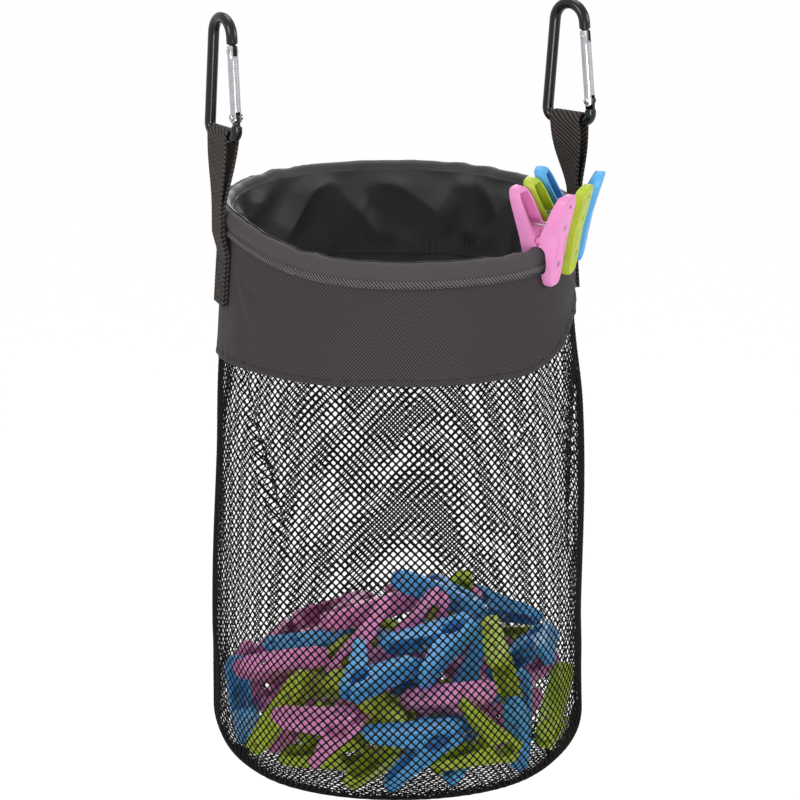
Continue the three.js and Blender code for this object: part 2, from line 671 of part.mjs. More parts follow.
// One closed jaw seen from the side, with the notch that takes the line, or here the lip and its tape.
function jawOutline() {
  const round = HANDLE_DEPTH / 2;
  const tip = JAW_TIP_DEPTH / 2;
  const half = Math.sqrt(NOTCH_RADIUS ** 2 - JAW_GAP ** 2);
  const open = Math.acos(JAW_GAP / NOTCH_RADIUS);
  const crest = outerFace(HANDLE_LENGTH) - round;
  const shape = new THREE.Shape();
  shape.moveTo(JAW_GAP, -JAW_LENGTH + tip / 2);
  shape.lineTo(JAW_GAP + tip / 2, -JAW_LENGTH);
  shape.lineTo(tip, -JAW_LENGTH);
  shape.quadraticCurveTo(outerFace(-JAW_LENGTH), -JAW_LENGTH, outerFace(tip - JAW_LENGTH), tip - JAW_LENGTH);
  shape.lineTo(outerFace(-round), -round);
  shape.quadraticCurveTo(PEG_SHOULDER, 0, outerFace(round), round);
  shape.lineTo(outerFace(HANDLE_LENGTH - round), HANDLE_LENGTH - round);
  shape.quadraticCurveTo(outerFace(HANDLE_LENGTH), HANDLE_LENGTH, crest, HANDLE_LENGTH);
  const inside = innerFace(HANDLE_LENGTH - round);
  shape.quadraticCurveTo(innerFace(HANDLE_LENGTH), HANDLE_LENGTH, inside, HANDLE_LENGTH - round);
  shape.lineTo(JAW_GAP, 0);
  shape.lineTo(JAW_GAP, half - NOTCH_BELOW);
  shape.absarc(0, -NOTCH_BELOW, NOTCH_RADIUS, open, 0, true);
  shape.quadraticCurveTo(NOTCH_RADIUS, -NOTCH_FOOT, JAW_GAP, -NOTCH_FOOT);
  return shape;
}

// The hollow of the handle, open towards the other jaw.
function jawPocket() {
  const corners = [
    [-PEG_WIDTH, POCKET_FLOOR],
    [outerFace(POCKET_FLOOR) - PEG_WALL, POCKET_FLOOR],
    [outerFace(POCKET_TOP) - PEG_WALL, POCKET_TOP],
    [-PEG_WIDTH, POCKET_TOP],
  ];
  const shape = new THREE.Shape(corners.map(([x, z]) => new THREE.Vector2(x, z)));
  return solidOf(plateOf(shape, PEG_WIDTH - 2 * PEG_WALL));
}

// The groove for the wire down the outer face, through the wall where the wire goes in above the fulcrum.
function wireGroove() {
  const foot = -WIRE_LEG - WIRE_SPACING;
  const top = WIRE_UP + 1.5 * WIRE;
  const sill = POCKET_FLOOR + FIT;
  const out = PEG_SHOULDER;
  const corners = [
    [outerFace(foot) - GROOVE_DEPTH, foot],
    [outerFace(foot) + out, foot],
    [outerFace(top) + out, top],
    [outerFace(top) - 2 * PEG_WALL, top],
    [outerFace(sill) - 2 * PEG_WALL, sill],
    [outerFace(sill) - GROOVE_DEPTH, sill],
    [outerFace(0) - GROOVE_DEPTH, 0],
  ];
  const shape = new THREE.Shape(corners.map(([x, z]) => new THREE.Vector2(x, z)));
  return solidOf(plateOf(shape, GROOVE_WIDTH));
}

// A jaw of a rim peg, closed, on the +X side: hollow handle, hanging hole, wire groove and a spoon at
// the tip.
function jawSolid() {
  const holeX = outerFace(HANDLE_HOLE_UP);
  const hole = crossPin(HANDLE_HOLE, 2 * HANDLE_DEPTH, 10).rotateZ(Math.PI / 2 - HANDLE_SPREAD);
  hole.translate(holeX + HANDLE_DEPTH / 2, 0, HANDLE_HOLE_UP);
  const spoon = crossPin(2 * SPOON_RADIUS, PEG_WIDTH - 2 * PEG_WALL, 16);
  spoon.translate(outerFace(-SPOON_BELOW) + SPOON_RADIUS - SPOON_DEPTH, 0, -SPOON_BELOW);
  let jaw = solidOf(plateOf(jawOutline(), PEG_WIDTH, PEG_EDGE));
  jaw = jaw.subtract(jawPocket()).subtract(wireGroove());
  return jaw.subtract(solidOf(hole)).subtract(solidOf(spoon));
}

function halfTurned(solid) {
  return solid.rotate([0, 0, 180]);
}

const FULCRUM_SIDES = 10;

function outerJaw() {
  const socket = (2 * (FULCRUM_BOSS + FIT)) / Math.cos(Math.PI / FULCRUM_SIDES);
  return geometryOf(jawSolid().subtract(solidOf(crossPin(socket, 2 * PEG_WIDTH, FULCRUM_SIDES))));
}

function innerJaw() {
  const boss = crossPin(2 * FULCRUM_BOSS, PEG_WIDTH - 2 * PEG_WALL, FULCRUM_SIDES);
  return geometryOf(halfTurned(jawSolid()).add(solidOf(boss)));
}

// How far a jaw opens to clear a point beside the rim, given from the hoop's centre outwards and downwards.
function gripOpening(outwards, down) {
  const side = Math.sign(outwards);
  const across = outwards * Math.cos(PEG_LEAN) + down * Math.sin(PEG_LEAN);
  const below = down * Math.cos(PEG_LEAN) + NOTCH_BELOW - outwards * Math.sin(PEG_LEAN);
  return Math.atan2(side * across, below) - Math.asin(JAW_GAP / Math.hypot(across, below));
}

function flare(down) {
  return flankRadius(0, rimHeight(0) - down) - HOOP_RADIUS;
}

// Below the notch the outer jaw presses on the band and the inner one on the lining.
const BAND_FACE = BAND_CLOTH / 2 + PEG_GRIP_GAP;
const LINING_FACE = BAND_CLOTH / 2 + FIT + LINING_CLOTH + PEG_GRIP_GAP;
const PRESSED = [NOTCH_FOOT - NOTCH_BELOW, JAW_LENGTH - NOTCH_BELOW];
const OUTER_OPENING = Math.max(...PRESSED.map((down) => gripOpening(flare(down) + BAND_FACE, down)));
const INNER_OPENING = Math.max(...PRESSED.map((down) => gripOpening(flare(down) - LINING_FACE, down)));

// The wire: up the outer jaw's groove, in through its wall, across to the inner jaw, round and back beside
// itself.
function pegWire() {
  const seat = GROOVE_DEPTH / 2;
  const at = (side, x, up, width) => {
    const opening = side > 0 ? OUTER_OPENING : INNER_OPENING;
    const turnedX = x * Math.cos(opening) - up * Math.sin(opening);
    const turnedZ = x * Math.sin(opening) + up * Math.cos(opening);
    return new THREE.Vector3(side * turnedX, width, turnedZ);
  };
  const run = (lane) => {
    const leg = (side) => [-WIRE_LEG, -WIRE_LEG / 2, 0, WIRE_UP - 2.5 * WIRE].map(
      (up) => at(side, outerFace(up) - seat, up, (lane * WIRE_SPACING) / 2),
    );
    const entry = (side) => [
      at(side, outerFace(WIRE_UP) - 2 * seat, WIRE_UP - WIRE / 4, (lane * WIRE_SPACING) / 2),
      at(side, outerFace(WIRE_UP) / 2, WIRE_UP + WIRE / 2, (lane * WIRE_CROSSING) / 2),
    ];
    const middle = new THREE.Vector3(0, (lane * WIRE_CROSSING) / 2, WIRE_UP + 1.5 * WIRE);
    return [...leg(1), ...entry(1), middle, ...entry(-1).reverse(), ...leg(-1).reverse()];
  };
  const bend = at(-1, outerFace(-WIRE_LEG) - seat, -WIRE_LEG - WIRE_SPACING / 2, 0);
  return new THREE.CatmullRomCurve3([...run(1), bend, ...run(-1).reverse()], false, "centripetal");
}

function addRimPeg({ name, angle }, wire) {
  const about = new THREE.Group();
  about.rotation.z = angle;
  const onRim = new THREE.Group();
  const slope = (rimHeight(angle + 0.01) - rimHeight(angle - 0.01)) / (0.02 * HOOP_RADIUS);
  onRim.position.set(HOOP_RADIUS, 0, rimHeight(angle));
  onRim.rotation.set(Math.atan(slope), PEG_LEAN, 0);
  const fulcrum = new THREE.Group();
  fulcrum.position.z = NOTCH_BELOW;
  const outer = piece(`${name}_peg_outer_jaw`, outerJaw(), name);
  outer.rotation.y = -OUTER_OPENING;
  const inner = piece(`${name}_peg_inner_jaw`, innerJaw(), name);
  inner.rotation.y = INNER_OPENING;
  fulcrum.add(outer, inner, piece(`${name}_peg_spring`, wireOf(wire, WIRE, 60, 5), "steel"));
  onRim.add(fulcrum);
  about.add(onRim);
  bag.add(about);
}

// A loose peg: both jaws closed, drawn as one outline with the eye that takes the line.
function loosePeg() {
  const tip = JAW_TIP_DEPTH / 2;
  const right = [
    [tip, -JAW_LENGTH],
    [outerFace(tip - JAW_LENGTH), tip - JAW_LENGTH],
    [PEG_SHOULDER, 0],
    [outerFace(HANDLE_LENGTH), HANDLE_LENGTH],
    [innerFace(HANDLE_LENGTH), HANDLE_LENGTH],
  ];
  const left = right.map(([x, z]) => [-x, z]).reverse();
  const eye = [
    [NOTCH_RADIUS, -NOTCH_BELOW],
    [0, NOTCH_RADIUS - NOTCH_BELOW],
    [-NOTCH_RADIUS, -NOTCH_BELOW],
    [0, -NOTCH_FOOT],
  ];
  const shape = new THREE.Shape([...right, [0, 0], ...left].map(([x, z]) => new THREE.Vector2(x, z)));
  shape.holes.push(new THREE.Path(eye.map(([x, z]) => new THREE.Vector2(x, z))));
  return solidOf(plateOf(shape, PEG_WIDTH));
}

// Places inside a loose peg, no more than a step apart.
function pegPlaces(step) {
  const places = [];
  const spread = (low, high) => {
    const count = Math.ceil((high - low) / step);
    return Array.from({ length: count + 1 }, (_, at) => low + ((high - low) * at) / count);
  };
  for (const z of spread(-JAW_LENGTH, HANDLE_LENGTH)) {
    for (const x of spread(-outerFace(z), outerFace(z))) {
      if (Math.abs(x) < innerFace(z)) continue;
      for (const y of spread(-PEG_WIDTH / 2, PEG_WIDTH / 2)) places.push(new THREE.Vector3(x, y, z));
    }
  }
  return places;
}

// The room in the net, kept as small cubes, of which a settled peg takes those that it fills.
class Room {
  taken = new Set();

  keyOf({ x, y, z }, height) {
    const [a, b, c] = [x, y, z + height - BASE_Z].map((value) => Math.round(value / HEAP_CUBE));
    return (a * ROOM_CUBES + b) * ROOM_CUBES + c;
  }

  take(places) {
    for (const place of places) this.taken.add(this.keyOf(place, 0));
  }

  isFree(places, height) {
    return places.every((place) => !this.taken.has(this.keyOf(place, height)));
  }
}

// The span of heights at which places lie inside the net and under the mound; none where one stands outside.
const BOWL_RADIUS = (CORNER_RADIUS + NET_INNER - NET_THICKNESS - 2 * FIT) * Math.cos(TURN_STEP / 2);
const MOUND_SLOPE = (HEAP_HEIGHT - HEAP_EDGE_HEIGHT) / BELLY_RADIUS;

function heightsInNet(places) {
  let [lowest, highest] = [-Infinity, Infinity];
  for (const { x, y, z } of places) {
    const reach = Math.hypot(x, y) / Math.cos(Math.PI / RING_STEPS);
    const out = Math.max(0, reach - CORNER_CENTRE[0]);
    if (out > BOWL_RADIUS) return [Infinity, -Infinity];
    const floor = CORNER_CENTRE[1] - Math.sqrt(BOWL_RADIUS ** 2 - out ** 2);
    lowest = Math.max(lowest, floor - z);
    highest = Math.min(highest, BASE_Z + HEAP_HEIGHT - MOUND_SLOPE * reach - z);
  }
  return [lowest, highest];
}

// A try for a loose peg: any turn, and a place over the base.
function heapTry() {
  const random = () => THREE.MathUtils.seededRandom();
  const [share, first, second] = [random(), 2 * Math.PI * random(), 2 * Math.PI * random()];
  const [near, far] = [Math.sqrt(1 - share), Math.sqrt(share)];
  const pose = new THREE.Object3D();
  const turn = [Math.sin(first), Math.cos(first)].map((value) => near * value);
  pose.quaternion.set(...turn, far * Math.sin(second), far * Math.cos(second));
  const [reach, angle] = [BELLY_RADIUS * Math.sqrt(random()), 2 * Math.PI * random()];
  pose.position.set(reach * Math.cos(angle), reach * Math.sin(angle), 0);
  pose.updateMatrix();
  return pose;
}

// The lowest free height of a try, if it has one.
function settle(pose, places, room) {
  const turned = places.map((place) => place.clone().applyMatrix4(pose.matrix));
  const [lowest, highest] = heightsInNet(turned);
  for (let height = lowest; height <= highest; height += HEAP_CUBE / 2) {
    if (!room.isFree(turned, height)) continue;
    pose.position.z = height;
    pose.updateMatrix();
    return true;
  }
  return false;
}

// Free poses for a loose peg, the lowest first.
function freePoses(places, room) {
  const poses = [];
  for (let at = 0; at < HEAP_TRIES && poses.length < HEAP_CHOICE; at++) {
    const pose = heapTry();
    if (settle(pose, places, room)) poses.push(pose);
  }
  return poses.sort((one, other) => one.position.z - other.position.z);
}

// Lowers a clear pose until it rests on the net or on another peg.
function sink(pose, peg, others) {
  for (let gap = HEAP_CUBE; gap > 2 * FIT; ) {
    const moved = peg.transform(pose.matrix.elements);
    gap = Math.min(...others.map((other) => moved.minGap(other, 2 * HEAP_CUBE)));
    pose.position.z -= gap - FIT;
    pose.updateMatrix();
  }
}

// Each loose peg takes the lowest free pose that keeps clear of all pegs before it.
function addHeap() {
  const peg = loosePeg();
  const geometry = geometryOf(peg);
  const [coarse, fine] = [pegPlaces(2 * HEAP_CUBE), pegPlaces(HEAP_CUBE / 2)];
  const room = new Room();
  const net = ["net_wall", "net_base", "side_seam"];
  const settled = net.map((name) => solidOf(bag.getObjectByName(name).geometry));
  THREE.MathUtils.seededRandom(HEAP_SEED);
  const isClear = ({ matrix }) => {
    const moved = peg.transform(matrix.elements);
    return settled.every((other) => moved.minGap(other, 2 * FIT) >= FIT);
  };
  for (let number = 0; number < HEAP_PEGS; number++) {
    const pose = freePoses(coarse, room).find(isClear);
    if (!pose) break;
    sink(pose, peg, settled);
    settled.push(peg.transform(pose.matrix.elements));
    room.take(fine.map((place) => place.clone().applyMatrix4(pose.matrix)));
    const { name } = RIM_PEGS[number % RIM_PEGS.length];
    const mesh = piece(`heap_peg_${String(number + 1).padStart(2, "0")}`, geometry, name);
    mesh.position.copy(pose.position);
    mesh.quaternion.copy(pose.quaternion);
    bag.add(mesh);
  }
  console.log(`heap: ${settled.length - net.length} pegs`);
}

bag.add(piece("rim_hoop", rimHoop(), "steel"));
bag.add(piece("hoop_ferrule", hoopFerrule(), "steel"));
bag.add(piece("rim_lip", rimLip(), "lip"));
bag.add(piece("twill_tape", twillTape(), "twill"));
bag.add(piece("band", band(), "twill"));
bag.add(piece("lining", lining(), "satin"));
bag.add(piece("net_wall", netWall(), "net"));
bag.add(piece("net_base", netBase(), "net"));
bag.add(piece("side_seam", sideSeam(), "net"));

const rightStrap = piece("right_strap", strap(RIGHT_TWIST), "webbing");
const leftStrap = piece("left_strap", strap(LEFT_TWIST), "webbing");
leftStrap.rotation.z = Math.PI;
bag.add(rightStrap, leftStrap);
addHook("right", HOOK_X, RIGHT_TWIST);
addHook("left", -HOOK_X, LEFT_TWIST);

const wire = pegWire();
console.log(`peg wire: least gap to itself ${leastSelfGap(wire, WIRE, 6).toFixed(2)} mm`);
for (const peg of RIM_PEGS) addRimPeg(peg, wire);
addHeap();

export default bag;
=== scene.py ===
# %% [markdown]
# # A hanging peg bag, dressed
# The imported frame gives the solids: a hooped bag on two webbing loops, two spring-gate hooks, three pegs on
# the rim and a heap of pegs in the net. This script dresses them. Each soft piece becomes a thin surface
# with folds, the net becomes real yarn, and the pegs and hooks get their rounded shapes. The shapes below are
# in millimetres; the camera, the lamps and the flat sizes of the cloths are in metres.

# %% Load the frame
import math

import bmesh
import bpy
import numpy as np
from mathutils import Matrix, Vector


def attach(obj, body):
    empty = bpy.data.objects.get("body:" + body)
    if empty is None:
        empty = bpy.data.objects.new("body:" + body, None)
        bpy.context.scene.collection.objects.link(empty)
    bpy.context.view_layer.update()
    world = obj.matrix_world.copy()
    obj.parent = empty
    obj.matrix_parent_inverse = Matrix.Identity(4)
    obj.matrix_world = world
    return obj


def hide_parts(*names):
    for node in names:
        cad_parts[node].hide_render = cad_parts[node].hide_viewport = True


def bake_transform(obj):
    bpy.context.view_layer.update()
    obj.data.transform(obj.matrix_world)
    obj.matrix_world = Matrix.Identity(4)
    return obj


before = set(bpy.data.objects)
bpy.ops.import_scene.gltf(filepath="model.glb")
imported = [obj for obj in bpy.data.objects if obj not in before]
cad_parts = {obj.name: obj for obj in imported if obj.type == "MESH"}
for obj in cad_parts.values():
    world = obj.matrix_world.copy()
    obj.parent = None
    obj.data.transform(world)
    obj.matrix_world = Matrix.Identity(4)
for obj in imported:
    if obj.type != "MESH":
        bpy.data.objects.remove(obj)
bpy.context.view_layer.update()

# %% [markdown]
# # The camera
# The photograph looks at the bag from a little to the left and from slightly above, through a long lens. A
# camera could be placed by eye, but two angles, a distance and the width of the picture are easier to
# reason about.

# %% Camera
MM = 0.001
VIEW_AZIMUTH = math.radians(-15)
VIEW_ELEVATION = math.radians(13)
VIEW_DISTANCE = 3.5
VIEW_TARGET = Vector((0.0015, 0, -0.2585))
PICTURE_WIDTH = 0.533
SENSOR = 36

camera = bpy.data.objects.new("camera", bpy.data.cameras.new("camera"))
bpy.context.scene.collection.objects.link(camera)
back = Vector((
    math.sin(VIEW_AZIMUTH) * math.cos(VIEW_ELEVATION),
    -math.cos(VIEW_AZIMUTH) * math.cos(VIEW_ELEVATION),
    math.sin(VIEW_ELEVATION),
))
camera.location = VIEW_TARGET + back * VIEW_DISTANCE
camera.rotation_euler = (-back).to_track_quat("-Z", "Y").to_euler()
camera.data.sensor_width = SENSOR
camera.data.lens = SENSOR * VIEW_DISTANCE / PICTURE_WIDTH
bpy.context.scene.camera = camera
print("camera lens:", round(camera.data.lens, 1), "mm")

# %% [markdown]
# # From arrays to pieces
# Every new surface is worked out as a whole array of points first. A grid of points needs only one rule for
# its faces, so one helper makes the faces of any grid, open or closed round, one caps the ends of a tube, one
# turns points about an axis, and another puts arrays into a mesh.

# %% Grids and meshes
def grid_faces(rows, columns, wrap_rows=False, wrap_columns=False):
    """Quads of a grid, each from corner (i, j) to (i + 1, j), (i + 1, j + 1) and (i, j + 1).
    Wrapping joins the last row or column to the first."""
    i, j = np.meshgrid(
        np.arange(rows if wrap_rows else rows - 1),
        np.arange(columns if wrap_columns else columns - 1),
        indexing="ij",
    )
    i, j = i.ravel(), j.ravel()
    at_row = np.stack([i, i + 1, i + 1, i], 1)
    at_column = np.stack([j, j, j + 1, j + 1], 1)
    return (at_row % rows) * columns + at_column % columns, at_row, at_column


def capped_faces(rows, columns, flipped=False):
    """The quads of a tube that is closed round its columns, and one many-sided face for each of its ends."""
    quads = grid_faces(rows, columns, False, True)[0]
    ring = np.arange(columns)
    last = (rows - 1) * columns
    if flipped:
        return [quads[:, ::-1], np.stack([ring, last + ring[::-1]])]
    return [quads, np.stack([ring[::-1], last + ring])]


def turn_about(axis, angle):
    """The matrix of a turn about X, Y or Z, given as 0, 1 or 2."""
    first, second = (axis + 1) % 3, (axis + 2) % 3
    matrix = np.eye(3)
    matrix[first, first] = matrix[second, second] = math.cos(angle)
    matrix[second, first] = math.sin(angle)
    matrix[first, second] = -math.sin(angle)
    return matrix


def add_piece(name, points, faces, finishes, uv=None, finish_of_face=None, sharp_above=None):
    """A mesh object from points in millimetres and arrays of faces, with one UV pair for each face corner.
    Every face is turned outward, whichever way round its corners were given."""
    groups = faces if isinstance(faces, list) else [faces]
    corners = np.concatenate([group.ravel() for group in groups])
    sizes = np.concatenate([np.full(len(group), group.shape[1]) for group in groups])
    mesh = bpy.data.meshes.new(name)
    points = np.asarray(points, float).reshape(-1, 3) * MM
    mesh.vertices.add(len(points))
    mesh.vertices.foreach_set("co", points.astype(np.float32).ravel())
    mesh.loops.add(len(corners))
    mesh.loops.foreach_set("vertex_index", corners.astype(np.int32))
    mesh.polygons.add(len(sizes))
    mesh.polygons.foreach_set("loop_start", (np.cumsum(sizes) - sizes).astype(np.int32))
    mesh.polygons.foreach_set("use_smooth", np.ones(len(sizes), bool))
    if finish_of_face is not None:
        mesh.polygons.foreach_set("material_index", finish_of_face.astype(np.int32))
    if uv is not None:
        mesh.uv_layers.new(name="cloth").data.foreach_set("uv", (uv * MM).astype(np.float32).ravel())
    mesh.update(calc_edges=True)
    mesh.validate()
    shape = bmesh.new()
    shape.from_mesh(mesh)
    bmesh.ops.recalc_face_normals(shape, faces=shape.faces)
    shape.to_mesh(mesh)
    shape.free()
    if sharp_above is not None:
        mesh.set_sharp_from_angle(angle=math.radians(sharp_above))
    for finish in finishes if isinstance(finishes, list) else [finishes]:
        mesh.materials.append(finish)
    piece = bpy.data.objects.new(name, mesh)
    bpy.context.scene.collection.objects.link(piece)
    return piece


def dress(piece, body, slot, *nodes):
    """The piece rides on a body and stands for the named solids, which are hidden. The slot is not used."""
    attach(piece, body)
    if nodes:
        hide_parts(*nodes)
    return piece


# %% [markdown]
# # Finishes
# Real cloth, yarn, plastic and steel are never one flat colour. Each finish here mixes two close colours by a
# pattern at its true scale, and a fine pattern drives a little bump. Cloth reads its own UV map, which holds
# lengths along and across the cloth, so a weave follows every fold; yarn and hard pieces read Object
# coordinates.

# %% Finish helpers
def linear(red, green, blue):
    """A screen colour from 0 to 255 as the linear colour that a shader works with."""
    shares = np.array([red, green, blue]) / 255
    bright = np.where(shares <= 0.04045, shares / 12.92, ((shares + 0.055) / 1.055) ** 2.4)
    return (*bright.tolist(), 1)


def add_node(tree, kind, settings=None, **inputs):
    """A node with its settings, and inputs that are values or other nodes' outputs; n0 is the first input."""
    made = tree.nodes.new(kind)
    for key, value in (settings or {}).items():
        setattr(made, key, value)
    for key, value in inputs.items():
        at = made.inputs[int(key[1:])] if key[0] == "n" and key[1:].isdigit() else made.inputs[key]
        if isinstance(value, bpy.types.NodeSocket):
            tree.links.new(value, at)
        else:
            at.default_value = value
    return made.outputs


class Finish:
    """A material whose nodes are added one by one, each linked as it is made."""

    def __init__(self, name, roughness, metallic=0.0, **sockets):
        """A plain shader with some sockets set; an underscore stands for a space in a socket's name."""
        self.material = bpy.data.materials.new(name)
        self.material.use_nodes = True
        self.tree = self.material.node_tree
        self.shader = self.tree.nodes["Principled BSDF"]
        self.shader.inputs["Roughness"].default_value = roughness
        self.shader.inputs["Metallic"].default_value = metallic
        for socket, value in sockets.items():
            self.shader.inputs[socket.replace("_", " ")].default_value = value

    def cloth_place(self):
        """The cloth's own UV map."""
        return add_node(self.tree, "ShaderNodeUVMap", {"uv_map": "cloth"})[0]

    def hard_place(self):
        """Object coordinates, for a hard piece or for yarn."""
        return add_node(self.tree, "ShaderNodeTexCoord")["Object"]

    def stripes(self, place, pitch, turn=0.0):
        """Soft stripes a pitch apart in millimetres, turned by an angle.
        A Wave texture of scale 1 repeats every 2 pi / 20."""
        turned = add_node(self.tree, "ShaderNodeMapping", Vector=place, Rotation=(0, 0, turn))[0]
        scale = 2 * math.pi / 20 / (pitch * MM)
        settings = {"bands_direction": "X"}
        return add_node(self.tree, "ShaderNodeTexWave", settings, Vector=turned, Scale=scale)["Fac"]

    def speckle(self, place, size, detail=3.0):
        """Cloudy noise whose blotches are about the given size in millimetres."""
        scale = 1 / (size * MM)
        return add_node(self.tree, "ShaderNodeTexNoise", Vector=place, Scale=scale, Detail=detail)["Fac"]

    def mix(self, share, low, high):
        """A colour between two, by a share from 0 to 1."""
        return add_node(self.tree, "ShaderNodeMix", {"data_type": "RGBA"}, n0=share, n6=low, n7=high)[2]

    def plus(self, first, second):
        """The sum of two patterns."""
        return add_node(self.tree, "ShaderNodeMath", {"operation": "ADD"}, n0=first, n1=second)[0]

    def times(self, first, second):
        """The product of two patterns, or of a pattern and a number."""
        return add_node(self.tree, "ShaderNodeMath", {"operation": "MULTIPLY"}, n0=first, n1=second)[0]

    def spread(self, value, low, high):
        """A share from 0 to 1 stretched between two numbers."""
        return add_node(self.tree, "ShaderNodeMapRange", Value=value, n3=low, n4=high)[0]

    def finished(self, colour, rough, pattern, height):
        """Links the colour, the roughness and a bump whose pattern stands the given height in millimetres."""
        bump = add_node(self.tree, "ShaderNodeBump", Height=pattern, Distance=height * MM)[0]
        for socket, output in (("Base Color", colour), ("Roughness", rough), ("Normal", bump)):
            self.tree.links.new(output, self.shader.inputs[socket])
        return self.material


# %% [markdown]
# The band, the lip and the tape are one grey twill, whose fine diagonal lines catch the light. A twill is
# drawn by turned stripes; a second, wider pattern of clouds keeps a large panel from looking printed.

# %% Cloth finishes
def twill_finish(name, dark, light, pitch, turn, height):
    """Turned stripes for the twill, crossed by fine ones for the yarn, over slow clouds of lighter cloth."""
    cloth = Finish(name, 0.78, Sheen_Weight=0.04, Sheen_Roughness=0.45, Specular_IOR_Level=0.14)
    place = cloth.cloth_place()
    lines = cloth.stripes(place, pitch, turn)
    yarn = cloth.stripes(place, pitch * 0.45, turn + math.radians(82))
    weave = cloth.plus(cloth.times(lines, 0.72), cloth.times(yarn, 0.28))
    clouds = cloth.speckle(place, 28)
    base = cloth.mix(weave, linear(*dark), linear(*light))
    colour = cloth.mix(cloth.spread(clouds, 0, 0.16), base, linear(*light))
    return cloth.finished(colour, cloth.spread(clouds, 0.68, 0.86), weave, height)


def tape_finish(name, dark, light, pitch, turn):
    """A ribbed tape: painted highlight on the slanting ribs' crests, painted shade between them, a fine yarn
    along each rib.
    """
    cloth = Finish(name, 0.8, Sheen_Weight=0.05, Sheen_Roughness=0.5, Specular_IOR_Level=0.3)
    place = cloth.cloth_place()
    ribs = cloth.stripes(place, pitch, turn)
    yarn = cloth.stripes(place, 0.4, turn + math.pi / 2)
    clouds = cloth.speckle(place, 12)
    # Painted light: the ribs' crests are painted pale as a highlight, and the grooves between them near black
    # as shade.
    crest = cloth.times(ribs, cloth.spread(clouds, 0.7, 1.1))
    colour = cloth.mix(crest, linear(*dark), linear(*light))
    return cloth.finished(colour, cloth.spread(clouds, 0.7, 0.88), yarn, 0.06)


def satin_finish(name, dark, light):
    """A close, smooth cloth: very fine threads both ways, and less rough than the twill, so folds show."""
    cloth = Finish(name, 0.46, Sheen_Weight=0.04, Sheen_Roughness=0.3, Specular_IOR_Level=0.45)
    place = cloth.cloth_place()
    threads = cloth.times(cloth.stripes(place, 0.45), cloth.stripes(place, 0.45, math.pi / 2))
    clouds = cloth.speckle(place, 22)
    colour = cloth.mix(clouds, linear(*dark), linear(*light))
    return cloth.finished(colour, cloth.spread(clouds, 0.4, 0.56), threads, 0.03)


def webbing_finish(name, dark, light):
    """Slanting ribs over finer columns, painted pale on their ridges as highlight and dark between as shade,
    with paler worn patches.
    """
    cloth = Finish(name, 0.82, Sheen_Weight=0.03, Sheen_Roughness=0.5, Specular_IOR_Level=0.12)
    place = cloth.cloth_place()
    ribs = cloth.stripes(place, 2.5, math.radians(35))
    columns = cloth.stripes(place, WEBBING_WIDTH / 12, math.pi / 2)
    weave = cloth.times(ribs, cloth.spread(columns, 0.55, 1))
    wear = cloth.speckle(place, 9)
    # Painted light: the ribs' ridges are painted pale as a highlight, and the grooves near black as shade.
    base = cloth.mix(weave, linear(*dark), linear(*light))
    colour = cloth.mix(cloth.spread(wear, 0, 0.15), base, linear(*light))
    return cloth.finished(colour, cloth.spread(wear, 0.72, 0.88), weave, 0.5)


def yarn_finish(name, dark, light):
    """Dark yarn: a fibrous speckle finer than the strand, over slow clouds."""
    yarn = Finish(name, 0.7, Specular_IOR_Level=0.12)
    place = yarn.hard_place()
    fibres = yarn.speckle(place, 0.5, 2)
    clouds = yarn.speckle(place, 30)
    colour = yarn.mix(yarn.times(fibres, clouds), linear(*dark), linear(*light))
    return yarn.finished(colour, yarn.spread(fibres, 0.6, 0.85), fibres, 0.12)


WEBBING_WIDTH = 25
BAND_TWILL = twill_finish("band_twill", (8, 7, 8), (80, 75, 77), 1.45, math.radians(45), 0.14)
# The lip is the band's twill painted lighter, a painted highlight for the light on its upturned top.
LIP_TWILL_PAINTED_LIGHTER = twill_finish("lip_twill_painted_lighter", (36, 34, 35), (94, 89, 91), 1.2, math.radians(45), 0.1)
# The tape's near-black and pale greys are painted shade between its ribs and painted highlight on their
# crests.
TAPE_TWILL_PAINTED_LIGHT = tape_finish("tape_twill_painted_light", (3, 3, 3), (122, 116, 118), 1.866, math.radians(-39))
LINING_SATIN = satin_finish("lining_satin", (20, 19, 19), (38, 36, 37))
WEBBING = webbing_finish("ribbed_webbing_painted_ridges", (4, 4, 4), (96, 88, 84))
NET_YARN = yarn_finish("net_yarn", (3, 3, 3), (18, 17, 18))
THREAD = yarn_finish("sewing_thread", (20, 19, 20), (58, 55, 57))

# %% [markdown]
# The hooks are black enamel over a bent bar, with polished gates, and the pegs are moulded plastic. Enamel
# and polish differ mostly in how rough they are from place to place, so a stretched noise makes faint
# drawing marks on the steel, and a cloudy one makes handled, slightly duller patches on enamel and plastic.

# %% Hard finishes
def enamel_finish(name, dark, light):
    """Gloss black with duller patches and fine scuffs."""
    coat = Finish(name, 0.2, Specular_IOR_Level=0.3, Coat_Weight=0.12, Coat_Roughness=0.06)
    place = coat.hard_place()
    scuffs = coat.speckle(place, 1.2, 5)
    patches = coat.speckle(place, 14)
    colour = coat.mix(coat.times(scuffs, patches), linear(*dark), linear(*light))
    return coat.finished(colour, coat.spread(patches, 0.14, 0.3), scuffs, 0.012)


def steel_finish(name, dark, light, low, high):
    """Bright steel: noise stretched along the upright gives drawing marks, and clouds change the tone."""
    steel = Finish(name, 0.2, 1.0)
    place = steel.hard_place()
    drawn = add_node(steel.tree, "ShaderNodeMapping", Vector=place, Scale=(1, 1, 0.05))[0]
    marks = steel.speckle(drawn, 0.35, 2)
    colour = steel.mix(steel.speckle(place, 6), linear(*dark), linear(*light))
    return steel.finished(colour, steel.spread(marks, low, high), marks, 0.006)


